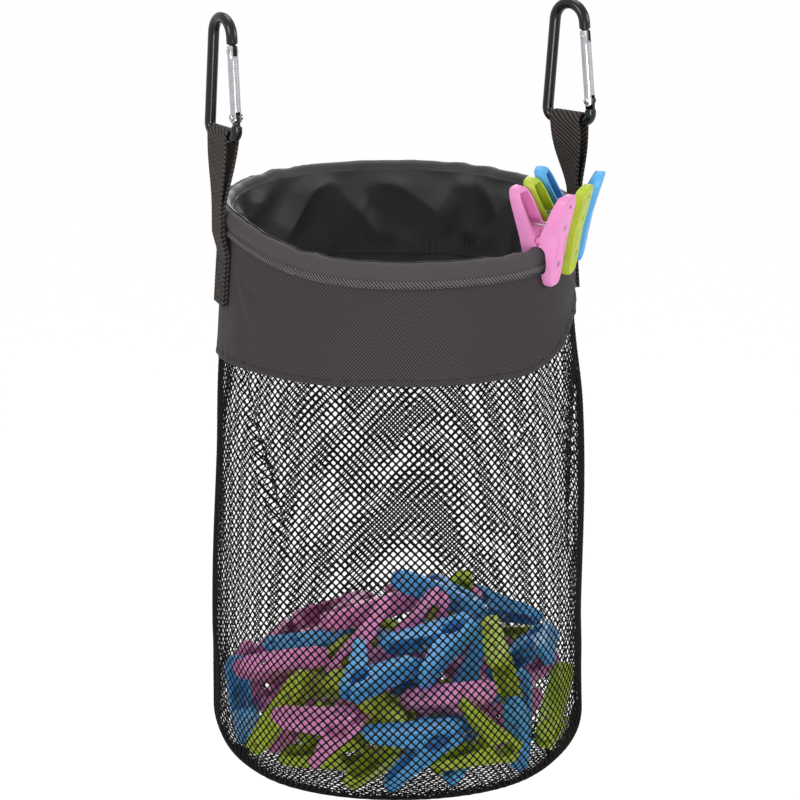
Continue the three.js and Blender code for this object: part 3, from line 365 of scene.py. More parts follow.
def plastic_finish(name, dark, light):
    """Moulded plastic: faint flow clouds in the colour, a fine grain, and a soft gloss that varies."""
    plastic = Finish(name, 0.36, Subsurface_Weight=0.12, Subsurface_Scale=2 * MM, Specular_IOR_Level=0.45)
    place = plastic.hard_place()
    flow = plastic.speckle(place, 12)
    colour = plastic.mix(flow, linear(*dark), linear(*light))
    return plastic.finished(colour, plastic.spread(flow, 0.28, 0.48), plastic.speckle(place, 0.6, 2), 0.02)


ENAMEL = enamel_finish("black_enamel", (3, 3, 3), (14, 14, 15))
POLISH = steel_finish("polished_steel", (158, 160, 164), (196, 197, 200), 0.1, 0.24)
SPRING_STEEL = steel_finish("spring_steel", (150, 148, 144), (188, 186, 182), 0.2, 0.38)
PLASTIC = {
    "pink": plastic_finish("pink_plastic", (222, 130, 190), (236, 156, 206)),
    "green": plastic_finish("green_plastic", (160, 182, 30), (184, 204, 56)),
    "blue": plastic_finish("blue_plastic", (58, 148, 218), (98, 180, 234)),
}
print("finishes:", len(bpy.data.materials))

# %% [markdown]
# # The bag's own lines
# The rim is a hoop that dips at the front, the flank swells from it to the belly, and the right strap draws
# the band's hem up. The solids follow the same lines, apart from a hem that rises over a shorter stretch,
# so each soft piece falls on its solid or close to it.

# %% Rim, hem and flank
RIM_Z, BAND_HEIGHT = -127.75, 95
FRONT_DIP, BACK_RISE = 19, 6
HOOP_RADIUS, BELLY_RADIUS, BELLY_DEPTH = 115, 125, 250
LIP_DEPTH, LIP_PINCH = 9, 6.5
HEM_RISE, HEM_SPREAD = 34, math.radians(45)
CLEAR = 0.3
RIPPLES = 6


def turn_from(theta, centre):
    """The angle from a centre, from minus to plus half a turn."""
    return (theta - centre + np.pi) % (2 * np.pi) - np.pi


def rim_height(theta):
    """The hoop's level less a dip in front or plus a rise behind, by a broad wave."""
    forward = -np.sin(theta)
    wave = np.sin(forward * np.pi / 2) ** 2
    return RIM_Z - np.where(forward > 0, FRONT_DIP, -BACK_RISE) * wave


def hem_height(theta):
    """The band's lower edge: level, with a broad, flat-topped bell of rise about the right strap."""
    return RIM_Z - BAND_HEIGHT + HEM_RISE * np.exp(-((turn_from(theta, 0) / HEM_SPREAD) ** 4))


def flank_radius(theta, z):
    """A quarter of a sine from the hoop's radius at the lip's end to the belly's radius."""
    top = rim_height(theta) - LIP_DEPTH
    share = np.clip((top - z) / (top - RIM_Z + BELLY_DEPTH), 0, 1)
    return HOOP_RADIUS + (BELLY_RADIUS - HOOP_RADIUS) * np.sin(share * np.pi / 2)


def smooth(value, low, high):
    """0 below low, 1 above high, and an S-curve between them."""
    share = np.clip((value - low) / (high - low), 0, 1)
    return share * share * (3 - 2 * share)


def ripple(theta, z, waves, drift, seed):
    """A sum of cosines round the bag: whole waves, so the ring closes, each drifting sideways with height."""
    rng = np.random.default_rng(seed)
    total = np.zeros(np.broadcast(theta, z).shape)
    for _ in range(RIPPLES):
        wave = rng.integers(*waves) * theta + rng.normal(0, drift) * z / 100
        total += rng.uniform(0.5, 1) * np.cos(wave + rng.uniform(0, 2 * np.pi))
    return total / math.sqrt(RIPPLES)


# %% [markdown]
# # The drape
# The collar's cloth hangs from the lip and is held by the straps, so its folds start at nothing under the
# lip, run down the cloth and stay flat under each strap and each peg. Band, lining and net follow this one
# drape.

# %% Drape
STRAP_ANGLES = (0, np.pi)
STRAP_HALF = math.radians(7)
PEG_ANGLES = {"pink": math.radians(-50), "green": math.radians(-39), "blue": math.radians(-28)}
BROAD_FOLD, SLANTING_FOLD, CREASE = 2.8, 2.0, 1.3
BROAD_WAVES, SLANTING_WAVES = ((4, 10), 0.4, 3), ((9, 20), 2.0, 8)
FOLDS_GROW, CREASES_GROW, PAST_PEGS = (16, 64), (24, 44), (40, 75)
CREASE_RAYS, CREASE_REACH, CREASE_PHASE, CREASE_START = 8, 46, 1.0, (3, 14)
HELD_POINTS = ((np.pi * 1.06, -160), (np.pi * 0.94, -160), (-0.3, -178), (0.3, -178))


def off_straps(theta):
    """0 under a strap, 1 a hand's breadth away from it."""
    near = np.min([np.abs(turn_from(theta, angle)) for angle in STRAP_ANGLES], axis=0)
    return smooth(near, STRAP_HALF, 3 * STRAP_HALF)


def fan(theta, z, centre, level):
    """Creases that spread from a held point: a cosine of the direction from it, fading with the distance."""
    across, below = turn_from(theta, centre) * HOOP_RADIUS, level - z
    away = np.hypot(across, below)
    crease = np.cos(CREASE_RAYS * np.arctan2(across, below) + CREASE_PHASE)
    return crease * smooth(away, *CREASE_START) * np.exp(-((away / CREASE_REACH) ** 2))


def off_pegs_by(theta, near, far):
    """0 up to the near angle from the middle peg of the rim, and 1 past the far angle."""
    return smooth(np.abs(turn_from(theta, PEG_ANGLES["green"])), near, far)


def drape(theta, z):
    """How far the cloth stands off the flank: broad folds, slanting ones and creases from the straps."""
    below = rim_height(theta) - z
    folds = BROAD_FOLD * ripple(theta, z, *BROAD_WAVES) + SLANTING_FOLD * ripple(theta, z, *SLANTING_WAVES)
    at_pegs = 1 - off_pegs_by(theta, 0.3, 0.55)
    folds = folds * (1 - at_pegs * (1 - smooth(below, *PAST_PEGS))) * smooth(below, *FOLDS_GROW)
    creases = sum(fan(theta, z, *point) for point in HELD_POINTS) * smooth(below, *CREASES_GROW)
    return off_straps(theta) * (folds + CREASE * creases)


def ring_piece(name, theta, radius, z, finish, finish_of_face=None):
    """A closed section carried round the bag: radius and height are arrays of angle by place on it."""
    points = np.stack([radius * np.cos(theta), radius * np.sin(theta), z + 0 * radius], -1)
    rows, columns = radius.shape
    faces, at_row, at_column = grid_faces(rows, columns, True, True)
    loop = np.concatenate([points[0], points[0][:1]])
    across = np.concatenate([[0], np.cumsum(np.linalg.norm(np.diff(loop, axis=0), axis=1))])
    along = np.arange(rows + 1) * 2 * np.pi * HOOP_RADIUS / rows
    uv = np.stack([along[at_row], across[at_column]], -1)
    return add_piece(name, points, faces, finish, uv, finish_of_face)


def ring_angles(count):
    """Angles once round the bag, as a column that spreads over a section."""
    return (np.arange(count) * 2 * np.pi / count)[:, None]


# %% [markdown]
# # The band
# The collar is one strip of grey twill with a coated dark inside. It could be a cloth simulation, but a
# hanging collar barely moves, so a drape added to the flank gives folds like these and stays where the solid
# is.

# %% Band
BAND_CLOTH, BAND_STEPS, BAND_ROWS = 1.0, 640, 52
HEM_PUCKER, HEM_WAVES, HEM_STARTS = 0.4, ((40, 80), 0.0, 21), (0.84, 0.97)
HEM_ROLL, ROLL_AT, ROLL_HALF = 0.35, 0.985, 0.02
theta = ring_angles(BAND_STEPS)
down = np.linspace(0, 1, BAND_ROWS)[None, :]
band_top = rim_height(theta) - LIP_PINCH
band_z = band_top + (hem_height(theta) - band_top) * down
hem_pucker = HEM_PUCKER * ripple(theta, band_z, *HEM_WAVES) * smooth(down, *HEM_STARTS)
band_r = flank_radius(theta, band_z) + drape(theta, band_z) + hem_pucker
hem_roll = HEM_ROLL * np.exp(-(((down - ROLL_AT) / ROLL_HALF) ** 2))
outside = band_r + BAND_CLOTH / 2 + hem_roll
inside = band_r - BAND_CLOTH / 2
section_r = np.concatenate([outside[:, ::-1], inside], 1)
section_z = np.concatenate([band_z[:, ::-1], band_z], 1)
is_inside = np.tile(np.arange(2 * BAND_ROWS) >= BAND_ROWS, BAND_STEPS)
band = ring_piece("band_cloth", theta, section_r, section_z, [BAND_TWILL, LINING_SATIN], is_inside)
dress(band, "bag", "twill", "band")

# %% [markdown]
# # The lip and its tape
# The lip is one cloth folded over the wire hoop, and a narrow ribbed tape covers its sewn edge. The lip is
# a rounded fold carried round the rim, slightly puckered; the tape has real diagonal ribs, and its two ends
# lap.

# %% Lip
LIP_INNER, LIP_OUTER, LIP_WAIST = 3.4, 4.6, 2.9
LEG_INNER, LEG_OUTER = 0.8, 2.0
LIP_STEPS, LINED_FROM = 720, -1.5
PUCKER, PUCKER_WAVES = 0.45, ((16, 44), 0.0, 31)
CRINKLE, CRINKLE_WAVES = 0.12, ((60, 130), 2.0, 32)


def lip_side(bead, waist, leg, turn):
    """One face of the fold: up one leg, over the bead by an arc of the given angles, and down the other."""
    arc = np.stack([bead * np.cos(turn), bead * np.sin(turn)], -1)
    ease = np.linspace(0, 1, 6)[1:]
    sides = np.stack([bead + (waist - bead) * smooth(ease, 0, 1), -LIP_PINCH * ease], -1)
    right = np.concatenate([[[leg, -LIP_DEPTH]], sides[::-1]])
    left = right[::-1] * [-1, 1]
    return np.concatenate([right, arc, left])


def pucker(theta):
    """The small waves of the lip's top edge."""
    return PUCKER * ripple(theta, 0, *PUCKER_WAVES)


over = lip_side(LIP_OUTER, LIP_WAIST, LEG_OUTER, np.linspace(0, np.pi, 15))
under = lip_side(LIP_INNER, LEG_INNER, LEG_INNER, np.linspace(0, np.pi, 9))[::-1]
lip_section = np.concatenate([over, under])
theta = ring_angles(LIP_STEPS)
off_rim, over_rim = lip_section[None, :, 0], lip_section[None, :, 1]
soft = smooth(over_rim, -5, 3) * (np.hypot(off_rim, np.maximum(over_rim, 0)) > LIP_INNER + 0.1)
scallop = pucker(theta) + CRINKLE * ripple(theta, over_rim * 10, *CRINKLE_WAVES)
lip_r = HOOP_RADIUS + off_rim + 0.5 * scallop * soft * np.sign(off_rim)
lip_z = rim_height(theta) + over_rim + scallop * soft
middle_of_face = (lip_section[:, 0] + np.roll(lip_section[:, 0], -1)) / 2
lip_inside = np.tile(middle_of_face < LINED_FROM, LIP_STEPS)
lip = ring_piece("lip_cloth", theta, lip_r, lip_z, [LIP_TWILL_PAINTED_LIGHTER, LINING_SATIN], lip_inside)
dress(lip, "bag", "lip_cloth", "rim_lip")
print("lip:", len(lip.data.polygons), "faces")

# %% Ribbed tape
TAPE_INNER, TAPE_THICK, TAPE_TOP, TAPE_WIDTH = 2.3, 0.7, 6.8, 5
RIB_PITCH, RIB_HEIGHT, RIB_SLANT = 2.4, 0.45, -1.75
RIBS = round(2 * math.pi * HOOP_RADIUS / RIB_PITCH)
LAP_ANGLE, LAP_HALF, LAP_HEIGHT = math.radians(-141), math.radians(2.2), 0.55
TAPE_STEPS, TAPE_ARCH = 2600, 0.35
theta = ring_angles(TAPE_STEPS)
drop = np.linspace(1, 0, 8)[None, :]
arch = TAPE_ARCH * np.sin(drop * np.pi) ** 0.5
ribs = -RIB_HEIGHT * np.cos(RIBS * theta - 2 * np.pi * RIB_SLANT * (1 - drop))
lap = LAP_HEIGHT * (1 - smooth(np.abs(turn_from(theta, LAP_ANGLE)), LAP_HALF * 0.92, LAP_HALF))
front = HOOP_RADIUS + TAPE_INNER + TAPE_THICK + arch + ribs * np.sin(drop * np.pi) ** 0.4 + lap
rear = np.full((TAPE_STEPS, 2), HOOP_RADIUS + TAPE_INNER)
tape_r = np.concatenate([front, rear], 1)
tape_top = rim_height(theta) - TAPE_TOP
front_z = tape_top - TAPE_WIDTH * drop
rear_z = tape_top - TAPE_WIDTH * np.array([[0.04, 0.96]])
tape = ring_piece("ribbed_tape", theta, tape_r, np.concatenate([front_z, rear_z], 1), TAPE_TWILL_PAINTED_LIGHT)
dress(tape, "bag", "twill", "twill_tape")
print("tape ribs:", RIBS)

# %% [markdown]
# # The lining
# A smooth black lining is turned over the lip's inside and hangs to a lower hem. Cloth held along two lines
# buckles between them into crests that cross each other. The size of a sine, rather than the sine itself,
# has such a sharp crest, so two slanting sets of them are added; they fade out behind the pegs on the rim.

# %% Lining
LINING_CLOTH, LINING_HEIGHT = 0.8, 50
LINING_OFF, LINING_FOLD, LINING_FOLD_MOST, LINING_GATHER = 4.6, 6.5, 8, 0.9
LINING_CRESTS = ((7, 0.05, 44), (6, -0.062, 45))
CREST_WANDER, CREST_ROUND = 0.8, 0.012
PATCH_WAVES, GATHER_WAVES = ((3, 9), 2.0, 48), ((60, 110), 0.0, 51)
LINING_STEPS, LINING_ROWS, EDGE_ROWS = 640, 48, 9
NET_TUCK, LINING_ABOVE_NET = 10, 3
theta = ring_angles(LINING_STEPS)
down = np.linspace(0, 1, LINING_ROWS)[None, :]
off_pegs = off_pegs_by(theta, 0.36, 0.62)
lining_top = rim_height(theta) - (LIP_DEPTH + CLEAR) * (1 - off_pegs)
above_net = hem_height(theta) + NET_TUCK + LINING_ABOVE_NET
lining_foot = np.maximum(rim_height(theta) - LIP_DEPTH - LINING_HEIGHT, above_net)
lining_z = lining_top + (lining_foot - lining_top) * down


def crests(waves, slant, seed):
    """1 along sharp slanting crests, 0 in the round valleys between: 1 less the size of a wandering sine."""
    wander = CREST_WANDER * ripple(theta, lining_z, (2, 8), 1.5, seed)
    return 1 - np.sqrt(np.sin(waves * theta + slant * lining_z + wander) ** 2 + CREST_ROUND)


patch = smooth(ripple(theta, lining_z, *PATCH_WAVES), -0.5, 0.5)
first_set, second_set = (LINING_FOLD * crests(*crest) for crest in LINING_CRESTS)
folds = first_set * (0.25 + 0.75 * patch) + second_set * (1 - 0.75 * patch)
held = smooth(down, 0, 0.22) * (1 - 0.7 * smooth(down, 0.7, 1))
inward = off_pegs * (LINING_OFF + held * np.clip(folds, 0, LINING_FOLD_MOST))
gathers = LINING_GATHER * ripple(theta, lining_z, *GATHER_WAVES) * smooth(down, 0.72, 0.95) * off_pegs
lining_face = flank_radius(theta, lining_z) + drape(theta, lining_z) - BAND_CLOTH / 2 - CLEAR
lining_out = lining_face - inward - np.abs(gathers)
over_lip = np.linspace(np.radians(112), np.radians(176), EDGE_ROWS)[None, :]


def turned_over(size, sewn_r):
    """The lining's upper edge: an arc of the given size over the lip's inside, or an edge sewn below the lip
    behind the pegs."""
    arc_r = HOOP_RADIUS + size * np.cos(over_lip) - 0.5 * pucker(theta)
    arc_z = size * np.sin(over_lip) + pucker(theta)
    sewn_z = 0.05 * np.arange(EDGE_ROWS, 0, -1)[None, :] - LIP_DEPTH - CLEAR
    edge_z = rim_height(theta) + sewn_z + (arc_z - sewn_z) * off_pegs
    return sewn_r + (arc_r - sewn_r) * off_pegs, edge_z


ON_LIP = LIP_OUTER + 0.2
edge_out, edge_z_out = turned_over(ON_LIP, lining_face[:, :1])
edge_in, edge_z_in = turned_over(ON_LIP + LINING_CLOTH, lining_face[:, :1] - LINING_CLOTH)
section_r = np.concatenate([lining_out[:, ::-1], edge_out[:, ::-1], edge_in, lining_out - LINING_CLOTH], 1)
section_z = np.concatenate([lining_z[:, ::-1], edge_z_out[:, ::-1], edge_z_in, lining_z], 1)
lining = ring_piece("lining_cloth", theta, section_r, section_z, LINING_SATIN)
dress(lining, "bag", "satin", "lining")
print("lining folds reach", round(float(inward.max()), 1), "mm inwards")

# %% [markdown]
# # The net
# The net is knitted yarn in diamonds of about six millimetres. A see-through picture on a sheet would be
# quick, but it has no thickness and its holes vanish from the side. Here each diamond is a ring of eight
# faces in front and eight behind, from the yarn's ridge, shared with its neighbours, to the edge of its
# hole.

# %% Diamond lattice
HOLE_SIDE, HOLE_CORNER = 0.76, 0.69
KNOT_RISE, STRAND_RISE = 0.5, 0.34


def lattice(knot_at, columns, half_rows, keep):
    """Diamonds between knots: knot (j, i) lies at place i + j / 2 across and j / 2 down, in whole diamonds.
    Each kept diamond joins its boundary, four knots and four strand middles, to a hole drawn in about its
    centre. The boundary is raised in front and sunk behind, so a strand's section is a lens."""
    j, i = np.meshgrid(np.arange(1, half_rows), np.arange(columns), indexing="ij")
    across, level = (i + 0.5 * (j % 2)).ravel(), j.ravel()
    chosen = keep(across + 0.5, level / 2)
    across, level = across[chosen], level[chosen]
    steps = np.array([[0, 0], [0.5, -1], [1, 0], [0.5, 1]])
    corner_a = across[:, None] + steps[None, :, 0]
    corner_l = level[:, None] + steps[None, :, 1]
    ring_a = np.stack([corner_a, (corner_a + np.roll(corner_a, -1, 1)) / 2], 2).reshape(-1, 8)
    ring_l = np.stack([corner_l, (corner_l + np.roll(corner_l, -1, 1)) / 2], 2).reshape(-1, 8)
    keys = np.round(np.stack([ring_a * 4, ring_l * 4], -1)).astype(int).reshape(-1, 2)
    unique, ring = np.unique(keys, axis=0, return_inverse=True)
    ring = ring.reshape(-1, 8)
    unique = unique / 4
    middle, outward = knot_at(unique[:, 0], unique[:, 1] / 2)
    is_knot = (unique[:, 1] % 1 == 0)[:, None]
    rise = np.where(is_knot, KNOT_RISE, STRAND_RISE) * outward
    centre = middle[ring].mean(1, keepdims=True)
    pull = np.where(np.arange(8) % 2 == 0, HOLE_CORNER, HOLE_SIDE)[None, :, None]
    hole = centre + (middle[ring] - centre) * pull
    count, cells = len(unique), len(ring)
    points = np.concatenate([middle + rise, middle - rise, hole.reshape(-1, 3)])
    edge = 2 * count + np.arange(cells * 8).reshape(-1, 8)
    after, edge_after = np.roll(ring, -1, 1), np.roll(edge, -1, 1)
    front = np.stack([ring, after, edge_after, edge], -1).reshape(-1, 4)
    behind = np.stack([edge, edge_after, after + count, ring + count], -1).reshape(-1, 4)
    here, there = ring.ravel(), after.ravel()
    open_side = ~np.isin(here * count + there, there * count + here)
    here, there = here[open_side], there[open_side]
    border = np.stack([there, here, here + count, there + count], -1)
    return points, np.concatenate([front, behind, border])


# %% [markdown]
# The wall of the net hangs from the hem, bellies out and turns under. It also has a few pleats, where slack
# net folds in on itself and looks darker, and the pegs in the bottom press it out here and there.

# %% Net wall
NET_OUTER, NET_THICK = -0.8, 1.2
NET_MIDDLE = NET_OUTER - NET_THICK / 2
CORNER_RADIUS, BASE_Z = 45, -511.75
CORNER_X, CORNER_Z = BELLY_RADIUS - CORNER_RADIUS, BASE_Z + CORNER_RADIUS
WALL_TURN = math.radians(60)
NET_TOP = -176.0
DIAMONDS, DIAMOND_HEIGHT = 132, 5.9
SLACK, SLACK_WAVES = 2.3, ((5, 12), 2.0, 65)
PRESSED_OUT, PRESSED_WAVES = 0.9, ((9, 20), 6.0, 67)
STRAY, STRAY_WAVES = 0.011, ((3, 12), 4.0, 61)
FREE_BELOW_HEM, HEAP_DEPTHS, PLEAT_HALF = (6, 70), (400, 450), 3.6
FLANK_LENGTH = NET_TOP - CORNER_Z
WALL_LENGTH = FLANK_LENGTH + (CORNER_RADIUS + NET_MIDDLE) * WALL_TURN
HALF_ROWS = int(2 * WALL_LENGTH / DIAMOND_HEIGHT)
PLEATS = (
    (math.radians(-165), -226, math.radians(-138), -345, 8.5),
    (math.radians(-55), -232, math.radians(-69), -282, 8.0),
    (math.radians(-22), -205, math.radians(-36), -350, 6.0),
    (math.radians(60), -230, math.radians(82), -350, 6.0),
    (math.radians(140), -230, math.radians(122), -330, 5.0),
)


def pleats(theta, z):
    """Narrow grooves along slanting lines, each deepest in the middle of its length."""
    total = 0
    for start, top, end, foot, depth in PLEATS:
        share = (z - top) / (foot - top)
        off = turn_from(theta, start + (end - start) * share) * BELLY_RADIUS
        length = np.sin(np.pi * np.clip(share * 0.86 + 0.1, 0, 1))
        total = total - depth * length * np.exp(-((off / PLEAT_HALF) ** 2))
    return total


def net_point(across, down):
    """The net's middle surface and its outward direction at a place in diamonds: down the flank, then round
    the turn."""
    theta = across * 2 * np.pi / DIAMONDS
    length = down * DIAMOND_HEIGHT
    turned = np.clip((length - FLANK_LENGTH) / (CORNER_RADIUS + NET_MIDDLE), 0, WALL_TURN)
    z = np.where(length < FLANK_LENGTH, NET_TOP - length, CORNER_Z)
    theta = theta + STRAY * ripple(theta, z, *STRAY_WAVES)
    free = smooth(hem_height(theta) - z, *FREE_BELOW_HEM)
    held = drape(theta, np.maximum(z, hem_height(theta)))
    at_heap = smooth(-z, *HEAP_DEPTHS)
    slack = SLACK * ripple(theta, z, *SLACK_WAVES) * (1 - at_heap)
    pressed = PRESSED_OUT * ripple(theta, z, *PRESSED_WAVES) * at_heap
    lift = held * (1 - free) + free * (slack + pressed + pleats(theta, z))
    radius = np.where(turned > 0, CORNER_X, flank_radius(theta, z) - CORNER_RADIUS)
    reach = CORNER_RADIUS + NET_MIDDLE + lift * (1 - smooth(turned, 0, WALL_TURN))
    radius = radius + reach * np.cos(turned)
    z = z - reach * np.sin(turned)
    outward = np.stack([np.cos(theta) * np.cos(turned), np.sin(theta) * np.cos(turned), -np.sin(turned)], -1)
    return np.stack([radius * np.cos(theta), radius * np.sin(theta), z], -1), outward


def wall_panel(first, last):
    """The diamonds of one panel: between two columns, and below the line where the net is tucked in."""
    def keep(across, down):
        """True for a diamond whose middle lies in the panel."""
        theta = across * 2 * np.pi / DIAMONDS
        below = NET_TOP - down * DIAMOND_HEIGHT < hem_height(theta) + NET_TUCK - 2
        return (across >= first) & (across < last) & below
    return lattice(net_point, DIAMONDS, HALF_ROWS, keep)


PANELS = {"net_right": (0, 33), "net_back": (33, 66), "net_left": (66, 99), "net_front": (99, DIAMONDS + 1)}
for name, (first, last) in PANELS.items():
    points, faces = wall_panel(first, last)
    panel = add_piece(name, points, faces, NET_YARN)
    dress(panel, "bag", "net", "net_wall")

# %% [markdown]
# The base is a round piece of the same net, cut from the flat and dished up at its edge to meet the wall. Its
# diamonds are laid on a flat plane first and then bent by the dish, so they stay even in the middle.

# %% Net base
DISH_RADIUS = CORNER_RADIUS - 2.3 - NET_THICK / 2
DISH_TURN = math.radians(45)
BASE_REACH = CORNER_X + DISH_RADIUS * DISH_TURN
BASE_SPAN = int(2 * BASE_REACH / DIAMOND_HEIGHT) + 2


def base_place(across, down):
    """A place in diamonds as flat distances from the middle of the base."""
    half = BASE_SPAN / 2
    return (across - half) * DIAMOND_HEIGHT, (down - half) * DIAMOND_HEIGHT


def base_point(across, down):
    """Flat in the middle; past the corner's start, the distance from the middle goes round the dish's arc."""
    x, y = base_place(across, down)
    reach = np.hypot(x, y)
    turn = np.maximum(reach - CORNER_X, 0) / DISH_RADIUS
    radius = np.minimum(reach, CORNER_X) + DISH_RADIUS * np.sin(turn)
    z = CORNER_Z - DISH_RADIUS * np.cos(turn) + 0.5 * np.cos(x / 17) * np.sin(y / 13 + 1)
    lean = np.sin(turn) / np.maximum(reach, 1e-6)
    scale = radius / np.maximum(reach, 1e-6)
    return np.stack([x * scale, y * scale, z], -1), np.stack([x * lean, y * lean, -np.cos(turn)], -1)


def on_base(across, down):
    """True for a diamond whose middle lies inside the base's edge."""
    return np.hypot(*base_place(across, down)) < BASE_REACH - 3


points, faces = lattice(base_point, BASE_SPAN, 2 * BASE_SPAN, on_base)
base = add_piece("net_floor", points, faces, NET_YARN)
dress(base, "bag", "net", "net_base")
print("base:", len(faces) * 2, "triangles")

# %% [markdown]
# # Seams of the net
# The wall's two edges meet in a doubled seam at the right, and its foot is hemmed on the base. Both are
# narrow gathered strips of doubled net, so they are made as strips that swell and wave a little.

# %% Side seam and foot hem
SEAM_ANGLE, SEAM_WIDTH, SEAM_INSET = math.radians(-11), 9, 2.4
SEAM_STEPS, SEAM_SIDES = 260, 9
DIAMOND_WIDTH = 6.2
FOOT_STEPS, FOOT_SIDES, FOOT_LONG, FOOT_THICK = 360, 10, 1.3, 0.6
FOOT_SWELL, FOOT_WAVES = 0.2, ((40, 90), 0.0, 71)
SEAM_TOP = (NET_TOP - hem_height(SEAM_ANGLE) - NET_TUCK + 2) / DIAMOND_HEIGHT
length = np.linspace(SEAM_TOP, WALL_LENGTH / DIAMOND_HEIGHT, SEAM_STEPS)[:, None]
side = np.linspace(-1, 1, SEAM_SIDES)[None, :]
gather = 1 + 0.12 * np.sin(length * 2.1) + 0.1 * np.sin(length * 5.3 + 1)
seam_across = SEAM_ANGLE / (2 * np.pi) * DIAMONDS + side * SEAM_WIDTH / 2 / DIAMOND_WIDTH * gather
seam_mid, seam_out = net_point(seam_across, length + 0 * side)
wave = 0.15 * np.sin(length * 3.7 + 2 * side)
thick = 0.85 * np.sqrt(1 - 0.9 * side**4)
faces_of_seam = [seam_mid + seam_out * (wave + off - SEAM_INSET)[..., None] for off in (thick, -thick)]
seam_grid = np.concatenate([faces_of_seam[0], faces_of_seam[1][:, ::-1]], 1)
seam = add_piece("net_side_seam", seam_grid, capped_faces(SEAM_STEPS, 2 * SEAM_SIDES, True), NET_YARN)
dress(seam, "bag", "net", "side_seam")

theta = ring_angles(FOOT_STEPS)
foot_turn = np.linspace(0, 2 * np.pi, FOOT_SIDES, endpoint=False)[None, :]
foot_mid_r = CORNER_X + (CORNER_RADIUS + NET_MIDDLE) * math.cos(WALL_TURN)
foot_mid_z = CORNER_Z - (CORNER_RADIUS + NET_MIDDLE) * math.sin(WALL_TURN)
swell = 1 + FOOT_SWELL * ripple(theta, foot_turn, *FOOT_WAVES)
along_wall, off_wall = FOOT_LONG * np.cos(foot_turn) * swell, FOOT_THICK * np.sin(foot_turn) * swell
foot_r = foot_mid_r + along_wall * math.sin(WALL_TURN) + off_wall * math.cos(WALL_TURN)
foot_z = foot_mid_z + along_wall * math.cos(WALL_TURN) - off_wall * math.sin(WALL_TURN)
hem = ring_piece("net_foot_hem", theta, foot_r, foot_z, NET_YARN)
dress(hem, "bag", "net")
print("seams:", len(seam.data.polygons), "and", len(hem.data.polygons), "faces")

# %% [markdown]
# # The webbing loops
# Each hook hangs in a loop of ribbed webbing whose two ends lie one on the other, sewn to the outside of
# the band. The strap is a flat section carried along a line: up over the lip, round the hook's foot and
# down again. The free part turns about its own upright line, because the hook doesn't face the bag
# squarely.

# %% Straps
WEBBING_THICK, WEBBING_ROUND = 1.6, 0.8
STRAP_STEP, WEAVE_PITCH, WEAVE_HEIGHT, COLUMN_HEIGHT = 0.6, 2.4, 0.12, 0.1
HOOK_BAR, BAR_Z = 7.5, -73.75
LOOP_MIDDLE = HOOK_BAR / 2 + CLEAR + WEBBING_THICK / 2
OVER_LIP = HOOP_RADIUS + LIP_OUTER + CLEAR
STRAP_PITCH = WEBBING_THICK + CLEAR
HOOK_X = OVER_LIP + STRAP_PITCH - HOOK_BAR / 2 - CLEAR
SEWN_LENGTH = 58
TWIST = {"left": math.radians(15), "right": math.radians(34)}


def strap_leg(layer, at_hook):
    """Points of one leg in the plane of the bag's radius and height, from its sewn end up to the hook."""
    off = layer * STRAP_PITCH + WEBBING_THICK / 2
    tape_foot = TAPE_TOP + TAPE_WIDTH
    z = RIM_Z - np.array([SEWN_LENGTH, SEWN_LENGTH * 0.7, 2 * tape_foot])
    on_band = np.stack([flank_radius(0.0, z) + BAND_CLOTH / 2 + CLEAR + off, z], -1)
    over = np.array([[OVER_LIP + off, RIM_Z - tape_foot], [OVER_LIP + off, RIM_Z + LIP_OUTER]])
    return np.concatenate([on_band, over, [[HOOK_X + at_hook, BAR_Z]]])


def even_line(points, step, ease):
    """The same line with points a step apart, its corners eased by a running mean."""
    gone = np.concatenate([[0], np.cumsum(np.linalg.norm(np.diff(points, axis=0), axis=1))])
    at = np.linspace(0, gone[-1], int(gone[-1] / step) + 1)
    line = np.stack([np.interp(at, gone, points[:, k]) for k in range(points.shape[1])], -1)
    padded = np.pad(line, ((ease, ease), (0, 0)), mode="reflect", reflect_type="odd")
    kernel = np.ones(2 * ease + 1) / (2 * ease + 1)
    return np.stack([np.convolve(padded[:, k], kernel, "valid") for k in range(line.shape[1])], -1)


arc = np.linspace(np.pi, 0, 30)[1:-1]
bend = np.array([HOOK_X, BAR_Z]) + LOOP_MIDDLE * np.stack([np.cos(arc), np.sin(arc)], -1)
strap_corners = np.concatenate([strap_leg(0, -LOOP_MIDDLE), bend, strap_leg(1, LOOP_MIDDLE)[::-1]])
strap_line = even_line(strap_corners, STRAP_STEP, 2)
strap_along = np.gradient(strap_line, axis=0)
strap_along /= np.linalg.norm(strap_along, axis=1, keepdims=True)
strap_off = np.stack([-strap_along[:, 1], strap_along[:, 0]], -1)


